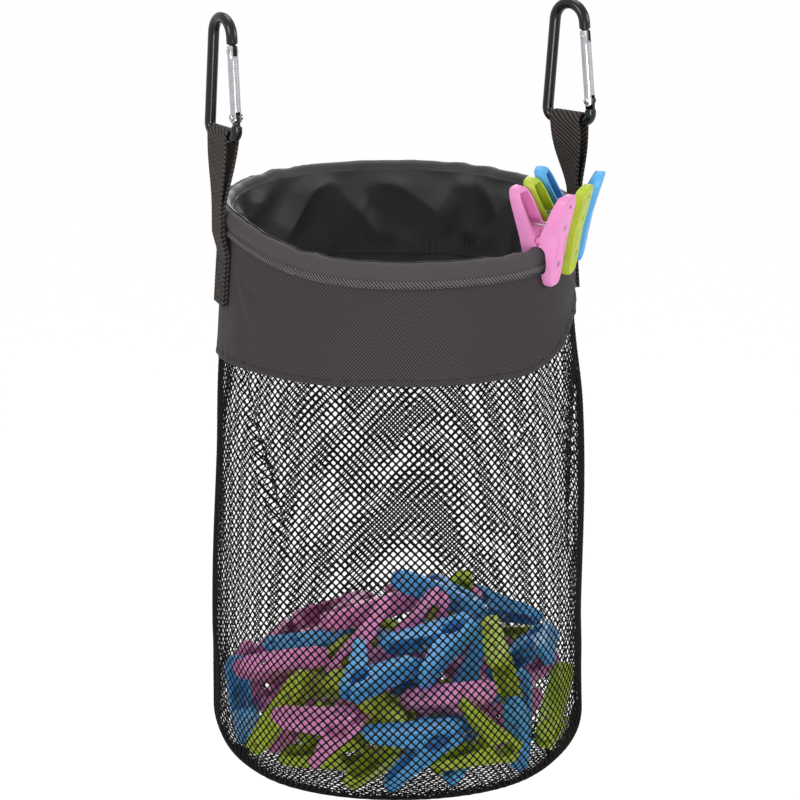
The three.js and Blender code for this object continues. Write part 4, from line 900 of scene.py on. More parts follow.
def strap_piece(side):
    """A flat section with round edges along the strap's line, twisted, and half turned for the left side."""
    edge = np.linspace(-np.pi / 2, np.pi / 2, 5)
    flat = np.linspace(-1, 1, 25)[1:-1] * (WEBBING_WIDTH / 2 - WEBBING_ROUND)
    round_y = WEBBING_WIDTH / 2 - WEBBING_ROUND + WEBBING_ROUND * np.cos(edge)
    half = WEBBING_THICK / 2
    y = np.concatenate([flat, round_y, -flat, -round_y])
    low = COLUMN_HEIGHT * (np.cos(flat * 2 * np.pi / (WEBBING_WIDTH / 8)) - 1)
    h = np.concatenate([-half + low, half * np.sin(edge), half - low[::-1], -half * np.sin(edge)])
    gone = np.arange(len(strap_line))[:, None] * STRAP_STEP
    weave = WEAVE_HEIGHT * np.sin(gone * 2 * np.pi / WEAVE_PITCH + np.abs(y) * 1.9) * (np.abs(h) > 0.6 * half)
    plane = strap_line[:, None, :] + strap_off[:, None, :] * (h + weave * np.sign(h))[..., None]
    share = smooth(plane[..., 1], RIM_Z + LIP_OUTER, BAR_Z - LOOP_MIDDLE - half)
    turn = TWIST[side] * share
    x, across = plane[..., 0] - HOOK_X, np.broadcast_to(y, plane.shape[:2])
    points = np.stack([
        HOOK_X + x * np.cos(turn) - across * np.sin(turn),
        x * np.sin(turn) + across * np.cos(turn),
        plane[..., 1],
    ], -1)
    if side == "left":
        points = points * [-1, -1, 1]
    rows, columns = points.shape[:2]
    _, at_row, at_column = grid_faces(rows, columns, False, True)
    uv = np.stack([at_row * STRAP_STEP, np.concatenate([y, y[:1]])[at_column] + WEBBING_WIDTH], -1)
    uv = np.concatenate([uv.reshape(-1, 2), np.zeros((2 * columns, 2))])
    return add_piece(f"{side}_webbing", points, capped_faces(rows, columns), WEBBING, uv)


for side in ("left", "right"):
    dress(strap_piece(side), "bag", "webbing", f"{side}_strap")
print("strap length:", round(float(np.linalg.norm(np.diff(strap_line, axis=0), axis=1).sum())), "mm")

# %% [markdown]
# # Stitching
# Thread shows as short raised stitches. Each stitch is a small pointed bead of a few faces, and rows of
# them are laid at once: along the band's hem, on the tape and in a crossed box on each strap.

# %% Stitches
BEAD_RINGS = np.array([-1, -0.7, 0, 0.7, 1])
BEAD_SIDES = 4
HEM_STITCHES, TAPE_STITCHES, BOX_STITCHES = 250, 270, 9


def stitches(name, middle, along, outward, length=2.2, width=0.55):
    """One bead for each place: rings of four points that grow from almost nothing to full size and back."""
    across = np.cross(along, outward)
    share = BEAD_RINGS[:, None]
    fat = np.sqrt(np.maximum(1 - share**2, 0.02))
    turn = np.arange(BEAD_SIDES)[None, :] * 2 * np.pi / BEAD_SIDES + np.pi / 4
    amounts = (share * length / 2, fat * np.cos(turn) * width / 2, fat * np.sin(turn) * width / 2)
    size = BEAD_RINGS.size * BEAD_SIDES
    shift = [np.broadcast_to(amount, (BEAD_RINGS.size, BEAD_SIDES)).reshape(1, size, 1) for amount in amounts]
    axes = (along, across, outward)
    beads = middle[:, None, :] + sum(axis[:, None, :] * amount for axis, amount in zip(axes, shift))
    faces = np.concatenate(capped_faces(BEAD_RINGS.size, BEAD_SIDES))
    every = (faces[None] + size * np.arange(len(middle))[:, None, None]).reshape(-1, BEAD_SIDES)
    return dress(add_piece(name, beads.reshape(-1, 3), every, THREAD), "bag", "net")


def ring_row(count, radius_of, z_of):
    """Places round the bag with the direction along the ring and the outward one."""
    theta = np.arange(count) * 2 * np.pi / count
    z = z_of(theta)
    radius = radius_of(theta, z)
    middle = np.stack([radius * np.cos(theta), radius * np.sin(theta), z], -1)
    along = np.roll(middle, -1, 0) - np.roll(middle, 1, 0)
    along /= np.linalg.norm(along, axis=1, keepdims=True)
    outward = np.stack([np.cos(theta), np.sin(theta), 0 * theta], -1)
    return middle, along, outward


def hem_line(theta):
    """A line a little above the band's hem."""
    return hem_height(theta) + 4


def band_skin(theta, z):
    """The band's outside."""
    return flank_radius(theta, z) + drape(theta, z) + BAND_CLOTH / 2 + 0.1


def tape_line(theta):
    """A line near the tape's lower edge."""
    return rim_height(theta) - TAPE_TOP - TAPE_WIDTH * 0.82


def tape_skin(theta, z):
    """The tape's outside, the same all round."""
    return HOOP_RADIUS + TAPE_INNER + TAPE_THICK + 0.55 + 0 * theta


stitches("hem_stitches", *ring_row(HEM_STITCHES, band_skin, hem_line))
stitches("tape_stitches", *ring_row(TAPE_STITCHES, tape_skin, tape_line), 1.7, 0.5)


def strap_box(side):
    """A stitched rectangle with its two diagonals, on the outer layer of the sewn part."""
    half_y, top, foot = WEBBING_WIDTH / 2 - 3, RIM_Z - 30, RIM_Z - SEWN_LENGTH + 4
    corners = np.array([[-half_y, foot], [half_y, foot], [half_y, top], [-half_y, top]])
    start, end = np.array([(0, 1), (1, 2), (2, 3), (3, 0), (0, 2), (1, 3)]).T
    run = (corners[end] - corners[start])[:, None, :]
    share = np.linspace(0.04, 0.96, BOX_STITCHES)[None, :, None]
    place = (corners[start][:, None, :] + run * share).reshape(-1, 2)
    heading = np.broadcast_to(run, (len(start), BOX_STITCHES, 2)).reshape(-1, 2).copy()
    heading /= np.linalg.norm(heading, axis=1, keepdims=True)
    x = flank_radius(0.0, place[:, 1]) + BAND_CLOTH / 2 + CLEAR + STRAP_PITCH + WEBBING_THICK + 0.15
    middle = np.stack([x, place[:, 0], place[:, 1]], -1)
    along = np.stack([0 * x, heading[:, 0], heading[:, 1]], -1)
    outward = np.tile([1.0, 0, 0], (len(x), 1))
    sign = np.array([-1, -1, 1]) if side == "left" else np.array([1, 1, 1])
    return middle * sign, along * sign, outward * sign


for side in ("left", "right"):
    stitches(f"{side}_strap_stitches", *strap_box(side), 1.9, 0.6)

# %% [markdown]
# # The hooks
# A hook is one bar bent round three circles, with a flat tongue at its nose and a flat tang at its heel,
# and a round gate whose slotted ends take them. The bar is a circle carried along the bent line; the gate
# is two half rounds, whose flat sides part at the slots; rivet and pin are turned shapes.

# %% Hook lines
HOOK_LENGTH, HOOK_WIDTH = 85, 44
CROWN_RADIUS, FOOT_RADIUS = 12.5, 6
NOSE_LENGTH, HEEL_LENGTH = 5, 2
RIVET_ABOVE_HEEL = 5.6
FOOT_Y = (HOOK_WIDTH - HOOK_BAR) / 2 - FOOT_RADIUS
CROWN_Z = HOOK_LENGTH - HOOK_BAR - CROWN_RADIUS
SIDE_RUN = math.hypot(FOOT_Y, CROWN_Z - FOOT_RADIUS)
SIDE_LEAN = math.acos((FOOT_RADIUS - CROWN_RADIUS) / SIDE_RUN) - math.atan2(CROWN_Z - FOOT_RADIUS, -FOOT_Y)
SIDE_LENGTH = math.sqrt(SIDE_RUN**2 - (CROWN_RADIUS - FOOT_RADIUS) ** 2)
BEVEL, BEVEL_SHARE = 0.3, 0.06
ANY_WAY = (0.31, 0.87, 0.38)
NOSE_UP = SIDE_LENGTH - NOSE_LENGTH - HEEL_LENGTH - RIVET_ABOVE_HEEL


def arc_line(centre, radius, start, end, count):
    """Points on a circle between two angles."""
    turn = np.linspace(start, end, count)
    return np.array(centre) + radius * np.stack([np.cos(turn), np.sin(turn)], -1)


def hook_line():
    """From the nose over the crown, down the spine, along the foot and up to the heel."""
    lean = -SIDE_LEAN
    side = np.array([math.cos(lean), math.sin(lean)])
    along = np.array([side[1], -side[0]])
    heel = np.array([FOOT_Y, FOOT_RADIUS]) + side * FOOT_RADIUS
    shoulder = np.array([0, CROWN_Z]) + side * CROWN_RADIUS
    flat = np.concatenate([
        [shoulder + along * NOSE_LENGTH],
        arc_line((0, CROWN_Z), CROWN_RADIUS, lean, math.pi - lean, 40),
        arc_line((-FOOT_Y, FOOT_RADIUS), FOOT_RADIUS, math.pi - lean, 1.5 * math.pi, 16),
        arc_line((FOOT_Y, FOOT_RADIUS), FOOT_RADIUS, -math.pi / 2, lean, 16),
        [heel - along * HEEL_LENGTH],
    ])
    return even_line(np.stack([0 * flat[:, 0], -flat[:, 0], flat[:, 1]], -1), 0.9, 1)


def tube(line, radius, sides, rounded=0.0):
    """A circle carried along a line, turned as little as possible from step to step, its ends drawn in."""
    along = np.gradient(line, axis=0)
    along /= np.linalg.norm(along, axis=1, keepdims=True)
    first = np.cross(along[0], ANY_WAY)
    frames = [first / np.linalg.norm(first)]
    for direction in along[1:]:
        kept = frames[-1] - direction * frames[-1].dot(direction)
        frames.append(kept / np.linalg.norm(kept))
    right = np.array(frames)
    up = np.cross(along, right)
    turn = np.arange(sides) * 2 * np.pi / sides
    size = np.full(len(line), float(radius))
    ends = np.minimum(np.arange(len(line)), np.arange(len(line))[::-1])
    if rounded:
        gone = np.linalg.norm(line[1] - line[0]) * ends
        size = size - rounded * (1 - np.sqrt(np.clip(gone / rounded, 0, 1)))
    ring = np.cos(turn)[None, :, None] * right[:, None] + np.sin(turn)[None, :, None] * up[:, None]
    points = line[:, None] + ring * size[:, None, None]
    return points.reshape(-1, 3), capped_faces(len(line), sides, True)


def slab(outline, thickness):
    """A flat outline of places in the hook's plane, given a thickness across it, with its rims bevelled."""
    count = len(outline)
    centre = outline.mean(0)
    inset = outline + (centre - outline) * BEVEL_SHARE
    half = thickness / 2
    layers = [(inset, -half), (outline, -half + BEVEL), (outline, half - BEVEL), (inset, half)]
    points = np.concatenate([np.column_stack([np.full(count, x), flat]) for flat, x in layers])
    return points, capped_faces(len(layers), count)


def joined(parts):
    """Several sets of points and faces as one."""
    points, groups, start = [], [], 0
    for part_points, part_faces in parts:
        points.append(part_points)
        groups += [group + start for group in part_faces]
        start += len(part_points)
    return np.concatenate(points), groups


# %% [markdown]
# The gate has a frame of its own, upright along the hook's open side with the rivet at its foot. Tongue,
# tang, gate, rivet and pin are drawn in that frame and then leaned over with it.

# %% Gate, tongue and pins
PLATE_THICK = 2.6
TONGUE_LENGTH, TONGUE_WIDTH, TONGUE_ROUND = 7.6, 4.5, 1.2
LATCH_PIN, LATCH_DEPTH = 2.0, 4.3
TANG_RADIUS, EAR_LENGTH = 3.2, 3.6
GATE_DIAMETER, GATE_GAP = 7.0, 0.5
SLOT = PLATE_THICK + 2 * CLEAR
RIVET, RIVET_HEAD, RIVET_DOME = 2.8, 4.6, 0.9
PIN_HEAD, PIN_DOME = 2.8, 0.5
HALF_GAP, PIN_SIDES = 0.01, 28
STEP, RIM_BEVEL, RIM_INSET = 0.02, 0.5, 0.35


def from_gate(points):
    """Points of the gate's frame in the hook's frame: leaned about the rivet and set at its place."""
    up = RIVET_ABOVE_HEEL + HEEL_LENGTH
    place_y = FOOT_Y + FOOT_RADIUS * math.cos(SIDE_LEAN) + up * math.sin(SIDE_LEAN)
    place_z = FOOT_RADIUS - FOOT_RADIUS * math.sin(SIDE_LEAN) + up * math.cos(SIDE_LEAN)
    return points @ turn_about(0, SIDE_LEAN).T + [0, -place_y, place_z]


def tongue_outline():
    """A short tab with a round notch in its inner side, which the latch pin enters."""
    half, foot, root = TONGUE_WIDTH / 2, NOSE_UP - TONGUE_LENGTH, NOSE_UP + TONGUE_LENGTH / 4
    notch, level = LATCH_PIN / 2 + CLEAR, NOSE_UP - LATCH_DEPTH
    arc = arc_line((0, level), notch, -np.pi / 2, -1.5 * np.pi, 12)
    round_at = (-half + TONGUE_ROUND, foot + TONGUE_ROUND)
    round_foot = arc_line(round_at, TONGUE_ROUND, np.pi, 1.5 * np.pi, 6)
    corner = [[half, foot], [half, level - notch]]
    return np.concatenate([[[-half, root]], round_foot, corner, arc, [[half, level + notch], [half, root]]])


def tang_outline():
    """A tab whose end is round about the rivet."""
    foot = -RIVET_ABOVE_HEEL - HEEL_LENGTH
    round_end = arc_line((0, 0), TANG_RADIUS, 0, np.pi, 18)
    return np.concatenate([[[-TANG_RADIUS, foot], [TANG_RADIUS, foot]], round_end])


def half_gate(sign):
    """Half of the gate: a half round whose flat side lies in the middle, or at the wall of a slot."""
    top = NOSE_UP - GATE_GAP
    tang_top, tongue_foot = TANG_RADIUS + 2 * CLEAR, NOSE_UP - TONGUE_LENGTH - 2 * CLEAR
    z = np.concatenate([
        -EAR_LENGTH + EAR_LENGTH * (1 - np.cos(np.linspace(0.12, np.pi / 2, 9))),
        [tang_top - STEP, tang_top + STEP],
        np.linspace(tang_top + 2, tongue_foot - 2, 8),
        [tongue_foot - STEP, tongue_foot + STEP, top - RIM_BEVEL, top - 0.15, top],
    ])[:, None]
    wall = np.where((z < tang_top) | (z > tongue_foot), SLOT / 2, 0.0)
    radius = GATE_DIAMETER / 2 - RIM_INSET * smooth(z, top - RIM_BEVEL, top)
    reach = np.sqrt(np.maximum(radius**2 - wall**2, 0))
    start = np.arctan2(reach, wall)
    turn = -start + 2 * start * np.linspace(0, 1, 19)[None, :]
    x, y = radius * np.cos(turn), radius * np.sin(turn)
    round_end = np.sqrt(np.maximum(1 - (np.minimum(z, 0) / EAR_LENGTH) ** 2, 0.004))
    y = np.clip(y, -GATE_DIAMETER / 2 * round_end, GATE_DIAMETER / 2 * round_end)
    points = np.stack([sign * (x + HALF_GAP), sign * y, z + 0 * x], -1)
    return points.reshape(-1, 3), capped_faces(*x.shape, True)


def turned_pin(diameter, head, thickness):
    """A pin across the gate with a domed head at each end: rings along X."""
    inner = GATE_DIAMETER / 2 + 0.15
    dome = np.linspace(0, np.pi / 2, 7)
    head_x, head_r = inner + thickness * np.sin(dome), head / 2 * np.cos(dome) ** 0.5
    x = np.concatenate([-head_x[::-1], [-inner, inner], head_x])
    r = np.concatenate([head_r[::-1], [diameter / 2, diameter / 2], head_r]).clip(0.02)
    turn = np.arange(PIN_SIDES)[None, :] * 2 * np.pi / PIN_SIDES
    points = np.stack([x[:, None] + 0 * turn, r[:, None] * np.cos(turn), r[:, None] * np.sin(turn)], -1)
    return points.reshape(-1, 3), capped_faces(len(x), PIN_SIDES, True)


# %% Hooks in their loops
def in_hook(points, side):
    """Points of the hook's frame in the bag's: turned about the upright and set in its webbing loop."""
    place = -HOOK_X if side == "left" else HOOK_X
    return points @ turn_about(2, TWIST[side]).T + [place, 0, BAR_Z]


bar = tube(hook_line(), HOOK_BAR / 2, 32, 0.9)
plates = [slab(outline, PLATE_THICK) for outline in (tongue_outline(), tang_outline())]
body = joined([bar] + [(from_gate(points), faces) for points, faces in plates])
gate, rivet, pin = (
    (from_gate(points + [0, 0, up]), faces)
    for (points, faces), up in (
        (joined([half_gate(1), half_gate(-1)]), 0),
        (turned_pin(RIVET, RIVET_HEAD, RIVET_DOME), 0),
        (turned_pin(LATCH_PIN, PIN_HEAD, PIN_DOME), NOSE_UP - LATCH_DEPTH),
    )
)
HOOK_PIECES = {
    "hook_bar": (body, ENAMEL, 40, "carabiner", "black_enamel", "carabiner_body"),
    "gate_rod": (gate, POLISH, 35, "gate_arm", "polished_steel", "gate"),
    "rivet": (rivet, POLISH, 50, "carabiner", "polished_steel", "gate_rivet"),
    "pin": (pin, POLISH, 50, "gate_arm", "polished_steel", "latch_pin"),
}
for side in ("left", "right"):
    for name, ((points, faces), finish, sharp, rides_on, slot, node) in HOOK_PIECES.items():
        piece = add_piece(f"{side}_{name}", in_hook(points, side), faces, finish, sharp_above=sharp)
        dress(piece, f"{side}_{rides_on}", slot, f"{side}_{node}")
print("hook pieces:", len(HOOK_PIECES), "on each side")

# %% [markdown]
# # Pegs
# A peg is two equal jaws back to back. A jaw is a U-shaped channel: a rounded outer face, two side walls
# and a hollow that opens towards the other jaw. One closed section is carried up the jaw, and its width,
# depth and hollow change on the way: a spoon near the tip, a round notch for the line, a groove that shows
# the wire in two windows, slits beside it, a pocket in the handle and a small hole. The hole takes two by
# two faces out of the grid in front and behind.

# %% A peg's jaw
PEG_HALF, PEG_WALL, PEG_ROUND = 7.5, 1.8, 1.4
PEG_SHOULDER, JAW_LENGTH, JAW_TIP_DEPTH = 14.5, 32, 6
HANDLE_LENGTH, HANDLE_SPREAD, HANDLE_DEPTH = 31.5, math.radians(20), 7
JAW_GAP, NOTCH_BELOW, NOTCH_RADIUS, NOTCH_FOOT = 0.4, 9, 5.4, 22.5
SOCKET_RADIUS, BOSS_RADIUS = 2.6, 2.2
POCKET_FOOT, POCKET_TOP = 6, 28
HOLE_UP, HOLE_RADIUS = 23.5, 1.5
GROOVE_DEPTH, GROOVE_HALF, GROOVE_FOOT, GROOVE_TOP = 1.6, 1.6, -18.6, 10.1
COVER_FOOT, COVER_TOP = -14.5, 6.8
SLIT_FOOT, SLIT_TOP, SLIT_OUT = -12, 2.5, 4.25
SPOON_BELOW, SPOON_RADIUS, SPOON_DEPTH, SPOON_HALF = 25, 9, 1.2, 4.6
HANDLE_END, TIP_END, END_DEPTH, TIP_TAPER = 10.5, 8, 2.8, 0.2
SLIT_DEPTH, SLIT_HALF, CROWN, JAW_SHARP = 0.9, 0.35, 0.35, 38
EDGE, PAST_END, FOLD_IN = 0.2, 0.02, 0.05


def outer_face(up):
    """The outer face's distance from the middle: it spreads up the handle and tapers to the tip."""
    handle = PEG_SHOULDER + up * math.tan(HANDLE_SPREAD)
    return np.where(up >= 0, handle, PEG_SHOULDER + (PEG_SHOULDER - JAW_TIP_DEPTH) * up / JAW_LENGTH)


def inner_face(up):
    """The inner face: a line up the handle and flat on the jaw, hollowed by the fulcrum's socket and by the
    notch, which is a half round above and closes below by a parabola."""
    top = float(outer_face(np.array(HANDLE_LENGTH))) - HANDLE_DEPTH
    face = JAW_GAP + (top - JAW_GAP) * np.maximum(up, 0) / HANDLE_LENGTH
    socket = np.sqrt(np.maximum(SOCKET_RADIUS**2 - up**2, 0))
    arch = np.sqrt(np.maximum(NOTCH_RADIUS**2 - (up + NOTCH_BELOW) ** 2, 0))
    share = np.clip((up + NOTCH_FOOT) / (NOTCH_FOOT - NOTCH_BELOW), 0, 1)
    closing = JAW_GAP + (NOTCH_RADIUS - JAW_GAP) * (1 - (1 - np.sqrt(share)) ** 2)
    return np.maximum(np.maximum(face, socket), np.where(up > -NOTCH_BELOW, arch, closing))


def end_round(up, start, end, power):
    """1 before the start, falling to 0 at the end by a super-ellipse."""
    share = np.clip((up - start) / (end - start), 0, 1)
    return np.maximum(1 - share**power, 0) ** (1 / power)


def between(up, start, end):
    """0, rising to 1 over the pair of places in start, and falling back to 0 over the pair in end."""
    return smooth(up, *start) * (1 - smooth(up, *end))


def jaw_stations(fine):
    """Places up the jaw: close together where it is rounded or hollowed, and wider apart elsewhere."""
    def run(low, high, count):
        """Even places between two, a third of them where the jaw isn't fine."""
        return np.linspace(low, high, count if fine else max(2, count // 3))

    closing = (NOTCH_FOOT - NOTCH_BELOW) * run(0, 1, 10) ** 2 - NOTCH_FOOT
    return np.concatenate([
        -JAW_LENGTH + 5 * (1 - np.cos(run(0.15, np.pi / 2, 8))), run(-26.5, -NOTCH_FOOT - 0.2, 4), closing,
        -NOTCH_BELOW + NOTCH_RADIUS * np.sin(run(0.15, np.pi / 2, 7)),
        GROOVE_FOOT + run(0.3, 0.7, 2), COVER_FOOT + run(-EDGE, EDGE, 2),
        SLIT_FOOT + run(-EDGE, EDGE, 2), SLIT_TOP + run(-EDGE, EDGE, 2),
        run(-SOCKET_RADIUS, SOCKET_RADIUS, 7), POCKET_FOOT + run(-0.1, 0.3, 2),
        COVER_TOP + run(-0.1, 0.25, 2), GROOVE_TOP + run(-EDGE, EDGE, 2),
        run(12, 20, 5), HOLE_UP + HOLE_RADIUS * np.array([-1, 0, 1]), POCKET_TOP + run(-0.3, 0.1, 2),
        HANDLE_LENGTH - END_DEPTH * (1 - np.sin(run(0.2, 1.45, 8))),
    ])


def jaw_mesh(fine):
    """The jaw's grid: stations up the jaw by places round the section, both denser where fine is true."""
    stations = jaw_stations(fine)
    up = np.unique(np.round(stations, 4))[:, None]
    wide = end_round(up, HANDLE_LENGTH - HANDLE_END, HANDLE_LENGTH + PAST_END, 2.1)
    wide = wide * end_round(-up, JAW_LENGTH - TIP_END, JAW_LENGTH + PAST_END, 2.2)
    wide = wide * (1 - TIP_TAPER * smooth(-up, 2, 30))
    deep = end_round(up, HANDLE_LENGTH - END_DEPTH, HANDLE_LENGTH + PAST_END, 2)
    deep = deep * end_round(-up, JAW_LENGTH - END_DEPTH, JAW_LENGTH + PAST_END, 2)
    xo, xi = outer_face(up), inner_face(up)
    middle = (xo + xi) / 2
    xo, xi = middle + (xo - middle) * deep, middle + (xi - middle) * deep
    half = PEG_HALF * wide
    corner = np.minimum(PEG_ROUND * wide, (xo - xi) * 0.4)
    beside_slit = [SLIT_OUT + off for off in (0.45, 0.3, -0.3, -0.45)]
    half_face = ([5.9] + beside_slit if fine else [5.2]) + [1.85, 1.5, 0]
    face_y = np.array(half_face + [-y for y in half_face[-2::-1]])[None, :]
    share = face_y / (PEG_HALF - PEG_ROUND)
    y_face = np.where(np.abs(face_y) <= 1.9, face_y * np.minimum(1, wide * 1.6), share * (half - corner))
    crown = CROWN * (1 - (y_face / np.maximum(half, 0.1)) ** 2)
    x_face = xo + crown * deep
    foot_window = between(up, (GROOVE_FOOT, GROOVE_FOOT + 0.5), (COVER_FOOT - EDGE, COVER_FOOT + EDGE))
    top_window = between(up, (COVER_TOP - EDGE, COVER_TOP + EDGE), (GROOVE_TOP - 0.1, GROOVE_TOP + 0.1))
    groove = (np.abs(face_y) < GROOVE_HALF) * (foot_window + top_window)
    slit = (np.abs(np.abs(face_y) - SLIT_OUT) < SLIT_HALF) * between(
        up, (SLIT_FOOT - EDGE, SLIT_FOOT + EDGE), (SLIT_TOP - EDGE, SLIT_TOP + EDGE)
    )
    spoon = np.sqrt(np.maximum(SPOON_RADIUS**2 - (up + SPOON_BELOW) ** 2, 0)) - SPOON_RADIUS + SPOON_DEPTH
    dish = np.maximum(spoon, 0) * (1 - smooth(np.abs(face_y), SPOON_HALF - 1.2, SPOON_HALF + 0.4))
    x_face = x_face - GROOVE_DEPTH * groove - SLIT_DEPTH * slit - dish
    in_pocket = between(up, (POCKET_FOOT, POCKET_FOOT + EDGE), (POCKET_TOP - EDGE, POCKET_TOP))
    floor = xi + FOLD_IN * deep + (xo - PEG_WALL - xi - FOLD_IN) * in_pocket
    wall_y = np.maximum(half - PEG_WALL, half * 0.5)
    floor_y = np.array([-1.5, 0, 1.5])[None, :] * np.minimum(1, wide * 1.6)
    one = np.ones_like(up)
    y = np.concatenate([
        half, half, half - 0.3 * corner, y_face, -half + 0.3 * corner, -half, -half,
        -wall_y, -wall_y, floor_y * one, wall_y, wall_y], 1)
    x = np.concatenate([
        xi, xo - corner, xo - 0.3 * corner, x_face, xo - 0.3 * corner, xo - corner, xi,
        xi, floor, floor * np.ones((1, 3)), floor, xi], 1)
    points = np.stack([x, y, up + 0 * x], -1)
    rows, columns = x.shape
    row = int(np.argmin(np.abs(up[:, 0] - HOLE_UP)))
    front = 3 + len(half_face) - 1
    rear = 3 + face_y.shape[1] + 3 + 2 + 1
    loops, kept = hole_loops(points, row, (front, rear), rows, columns)
    faces, caps = capped_faces(rows, columns)
    first, second = loops
    wall = np.stack([first, np.roll(first, -1), np.roll(second, -1), second], -1)
    return points.reshape(-1, 3), [faces[kept], wall, caps]


def hole_loops(points, row, middles, rows, columns):
    """Rounds the eight points about a hole in front and behind, and marks the faces that stay."""
    kept = np.ones((rows - 1, columns), bool)
    around = np.array([(-1, -1), (-1, 0), (-1, 1), (0, 1), (1, 1), (1, 0), (1, -1), (0, -1)])
    loops = []
    for middle, turn in zip(middles, (1, -1)):
        at_row, at_column = row + around[:, 0], middle + turn * around[:, 1]
        centre = points[row, middle].copy()
        spoke = points[at_row, at_column] - centre
        flat = np.linalg.norm(spoke[:, 1:], axis=1, keepdims=True)
        points[at_row, at_column] = centre + spoke * HOLE_RADIUS / flat
        kept[row - 1:row + 1, middle - 1:middle + 1] = False
        loops.append(at_row * columns + at_column)
    return loops, kept.ravel()


JAW = {fine: jaw_mesh(fine) for fine in (True, False)}
print("jaw faces:", {fine: sum(len(group) for group in JAW[fine][1]) for fine in JAW})

# %% [markdown]
# The spring is one bent wire: it lies in the outer jaw's groove, goes in above the fulcrum, crosses to the
# inner jaw, comes round and goes back beside itself. A smooth curve through a few places on the jaws gives
# its line.

# %% A peg's wire and fulcrum
WIRE, WIRE_SPACING, WIRE_CROSSING, WIRE_LEG, WIRE_UP = 1.0, 1.6, 5.2, 17, 8.6
BOSS_PLACES = np.array([-1, -0.97, -0.5, 0.5, 0.97, 1])


def smooth_line(places, steps):
    """A curve through the places: between two of them, a cubic whose slopes come from their neighbours."""
    padded = np.concatenate([[2 * places[0] - places[1]], places, [2 * places[-1] - places[-2]]])
    before, start, end, after = padded[:-3], padded[1:-2], padded[2:-1], padded[3:]
    t = np.linspace(0, 1, steps, endpoint=False)[None, :, None]
    before, start, end, after = (part[:, None] for part in (before, start, end, after))
    curve = 0.5 * (2 * start + (end - before) * t + (2 * before - 5 * start + 4 * end - after) * t**2
                   + (3 * start - before - 3 * end + after) * t**3)
    return np.concatenate([curve.reshape(-1, 3), places[-1:]])


def wire_line(outer_opening, inner_opening, steps):
    """The wire's line in the peg's frame, for jaws opened by two angles."""
    seat = GROOVE_DEPTH / 2

    def at(side, x, up, width):
        """A place on one jaw, turned with it about the fulcrum."""
        opening = outer_opening if side > 0 else inner_opening
        return [side * (x * math.cos(opening) - up * math.sin(opening)), width,
                x * math.sin(opening) + up * math.cos(opening)]

    def face(up):
        """The outer face at one height."""
        return float(outer_face(np.array(float(up))))

    def lane(sign):
        """One pass of the wire, from the outer jaw's foot to the inner jaw's."""
        beside, crossing = sign * WIRE_SPACING / 2, sign * WIRE_CROSSING / 2

        def half(side):
            """The leg on one jaw's face and its way in to the middle."""
            levels = (-WIRE_LEG, -WIRE_LEG / 2, 0, WIRE_UP - 2.5 * WIRE)
            leg = [at(side, face(up) - seat, up, beside) for up in levels]
            entry = [at(side, face(WIRE_UP) - 2 * seat, WIRE_UP - WIRE / 4, beside),
                     at(side, face(WIRE_UP) / 2, WIRE_UP + WIRE / 2, crossing)]
            return leg + entry
        return half(1) + [[0, crossing, WIRE_UP + 1.5 * WIRE]] + half(-1)[::-1]

    bend = [at(-1, face(-WIRE_LEG) - seat, -WIRE_LEG - WIRE_SPACING / 2, 0)]
    return smooth_line(np.array(lane(1) + bend + lane(-1)[::-1]), steps)


def boss(sides):
    """The fulcrum: a short round bar across the peg."""
    width = 2 * PEG_HALF - 2 * PEG_WALL
    along = BOSS_PLACES * width / 2
    return tube(np.stack([0 * along, along, 0 * along], -1), BOSS_RADIUS, sides)


# %% [markdown]
# # The pegs on the rim
# Three pegs grip the lip at the right. Each leans out a little, and its jaws are open just enough for the
# folded cloth. The outer jaw belongs to a body of its own, which opens; the wire is bent between the two
# jaws.

# %% Rim pegs
PEG_LEAN, GRIP_GAP = math.radians(6), 0.8
SLOPE_STEP = 0.01


def grip(outwards, down):
    """How far a jaw turns about the fulcrum to clear a point beside the rim by its own gap."""
    across = outwards * math.cos(PEG_LEAN) + down * math.sin(PEG_LEAN)
    below = down * math.cos(PEG_LEAN) + NOTCH_BELOW - outwards * math.sin(PEG_LEAN)
    toward = math.atan2(math.copysign(1, outwards) * across, below)
    return toward - math.asin(JAW_GAP / math.hypot(across, below))


def flare(down):
    """How far the flank has swollen from the hoop at a depth below the rim."""
    return float(flank_radius(0.0, rim_height(0.0) - down)) - HOOP_RADIUS


BAND_FACE = BAND_CLOTH / 2 + GRIP_GAP
LINING_FACE = BAND_CLOTH / 2 + CLEAR + LINING_CLOTH + GRIP_GAP
PRESSED = (NOTCH_FOOT - NOTCH_BELOW, JAW_LENGTH - NOTCH_BELOW)
OUTER_OPENING = max(grip(flare(down) + BAND_FACE, down) for down in PRESSED)
INNER_OPENING = max(grip(flare(down) - LINING_FACE, down) for down in PRESSED)


def peg_frame(theta):
    """The turn and place of a rim peg: on the hoop, tipped with the rim's slope and leaned outwards."""
    rise = float(rim_height(theta + SLOPE_STEP) - rim_height(theta - SLOPE_STEP))
    slope = math.atan(rise / (2 * SLOPE_STEP * HOOP_RADIUS))
    about = turn_about(2, theta)
    turn = about @ turn_about(0, slope) @ turn_about(1, PEG_LEAN)
    on_rim = about @ np.array([HOOP_RADIUS, 0, float(rim_height(theta))])
    return turn, on_rim + turn @ np.array([0, 0, NOTCH_BELOW])


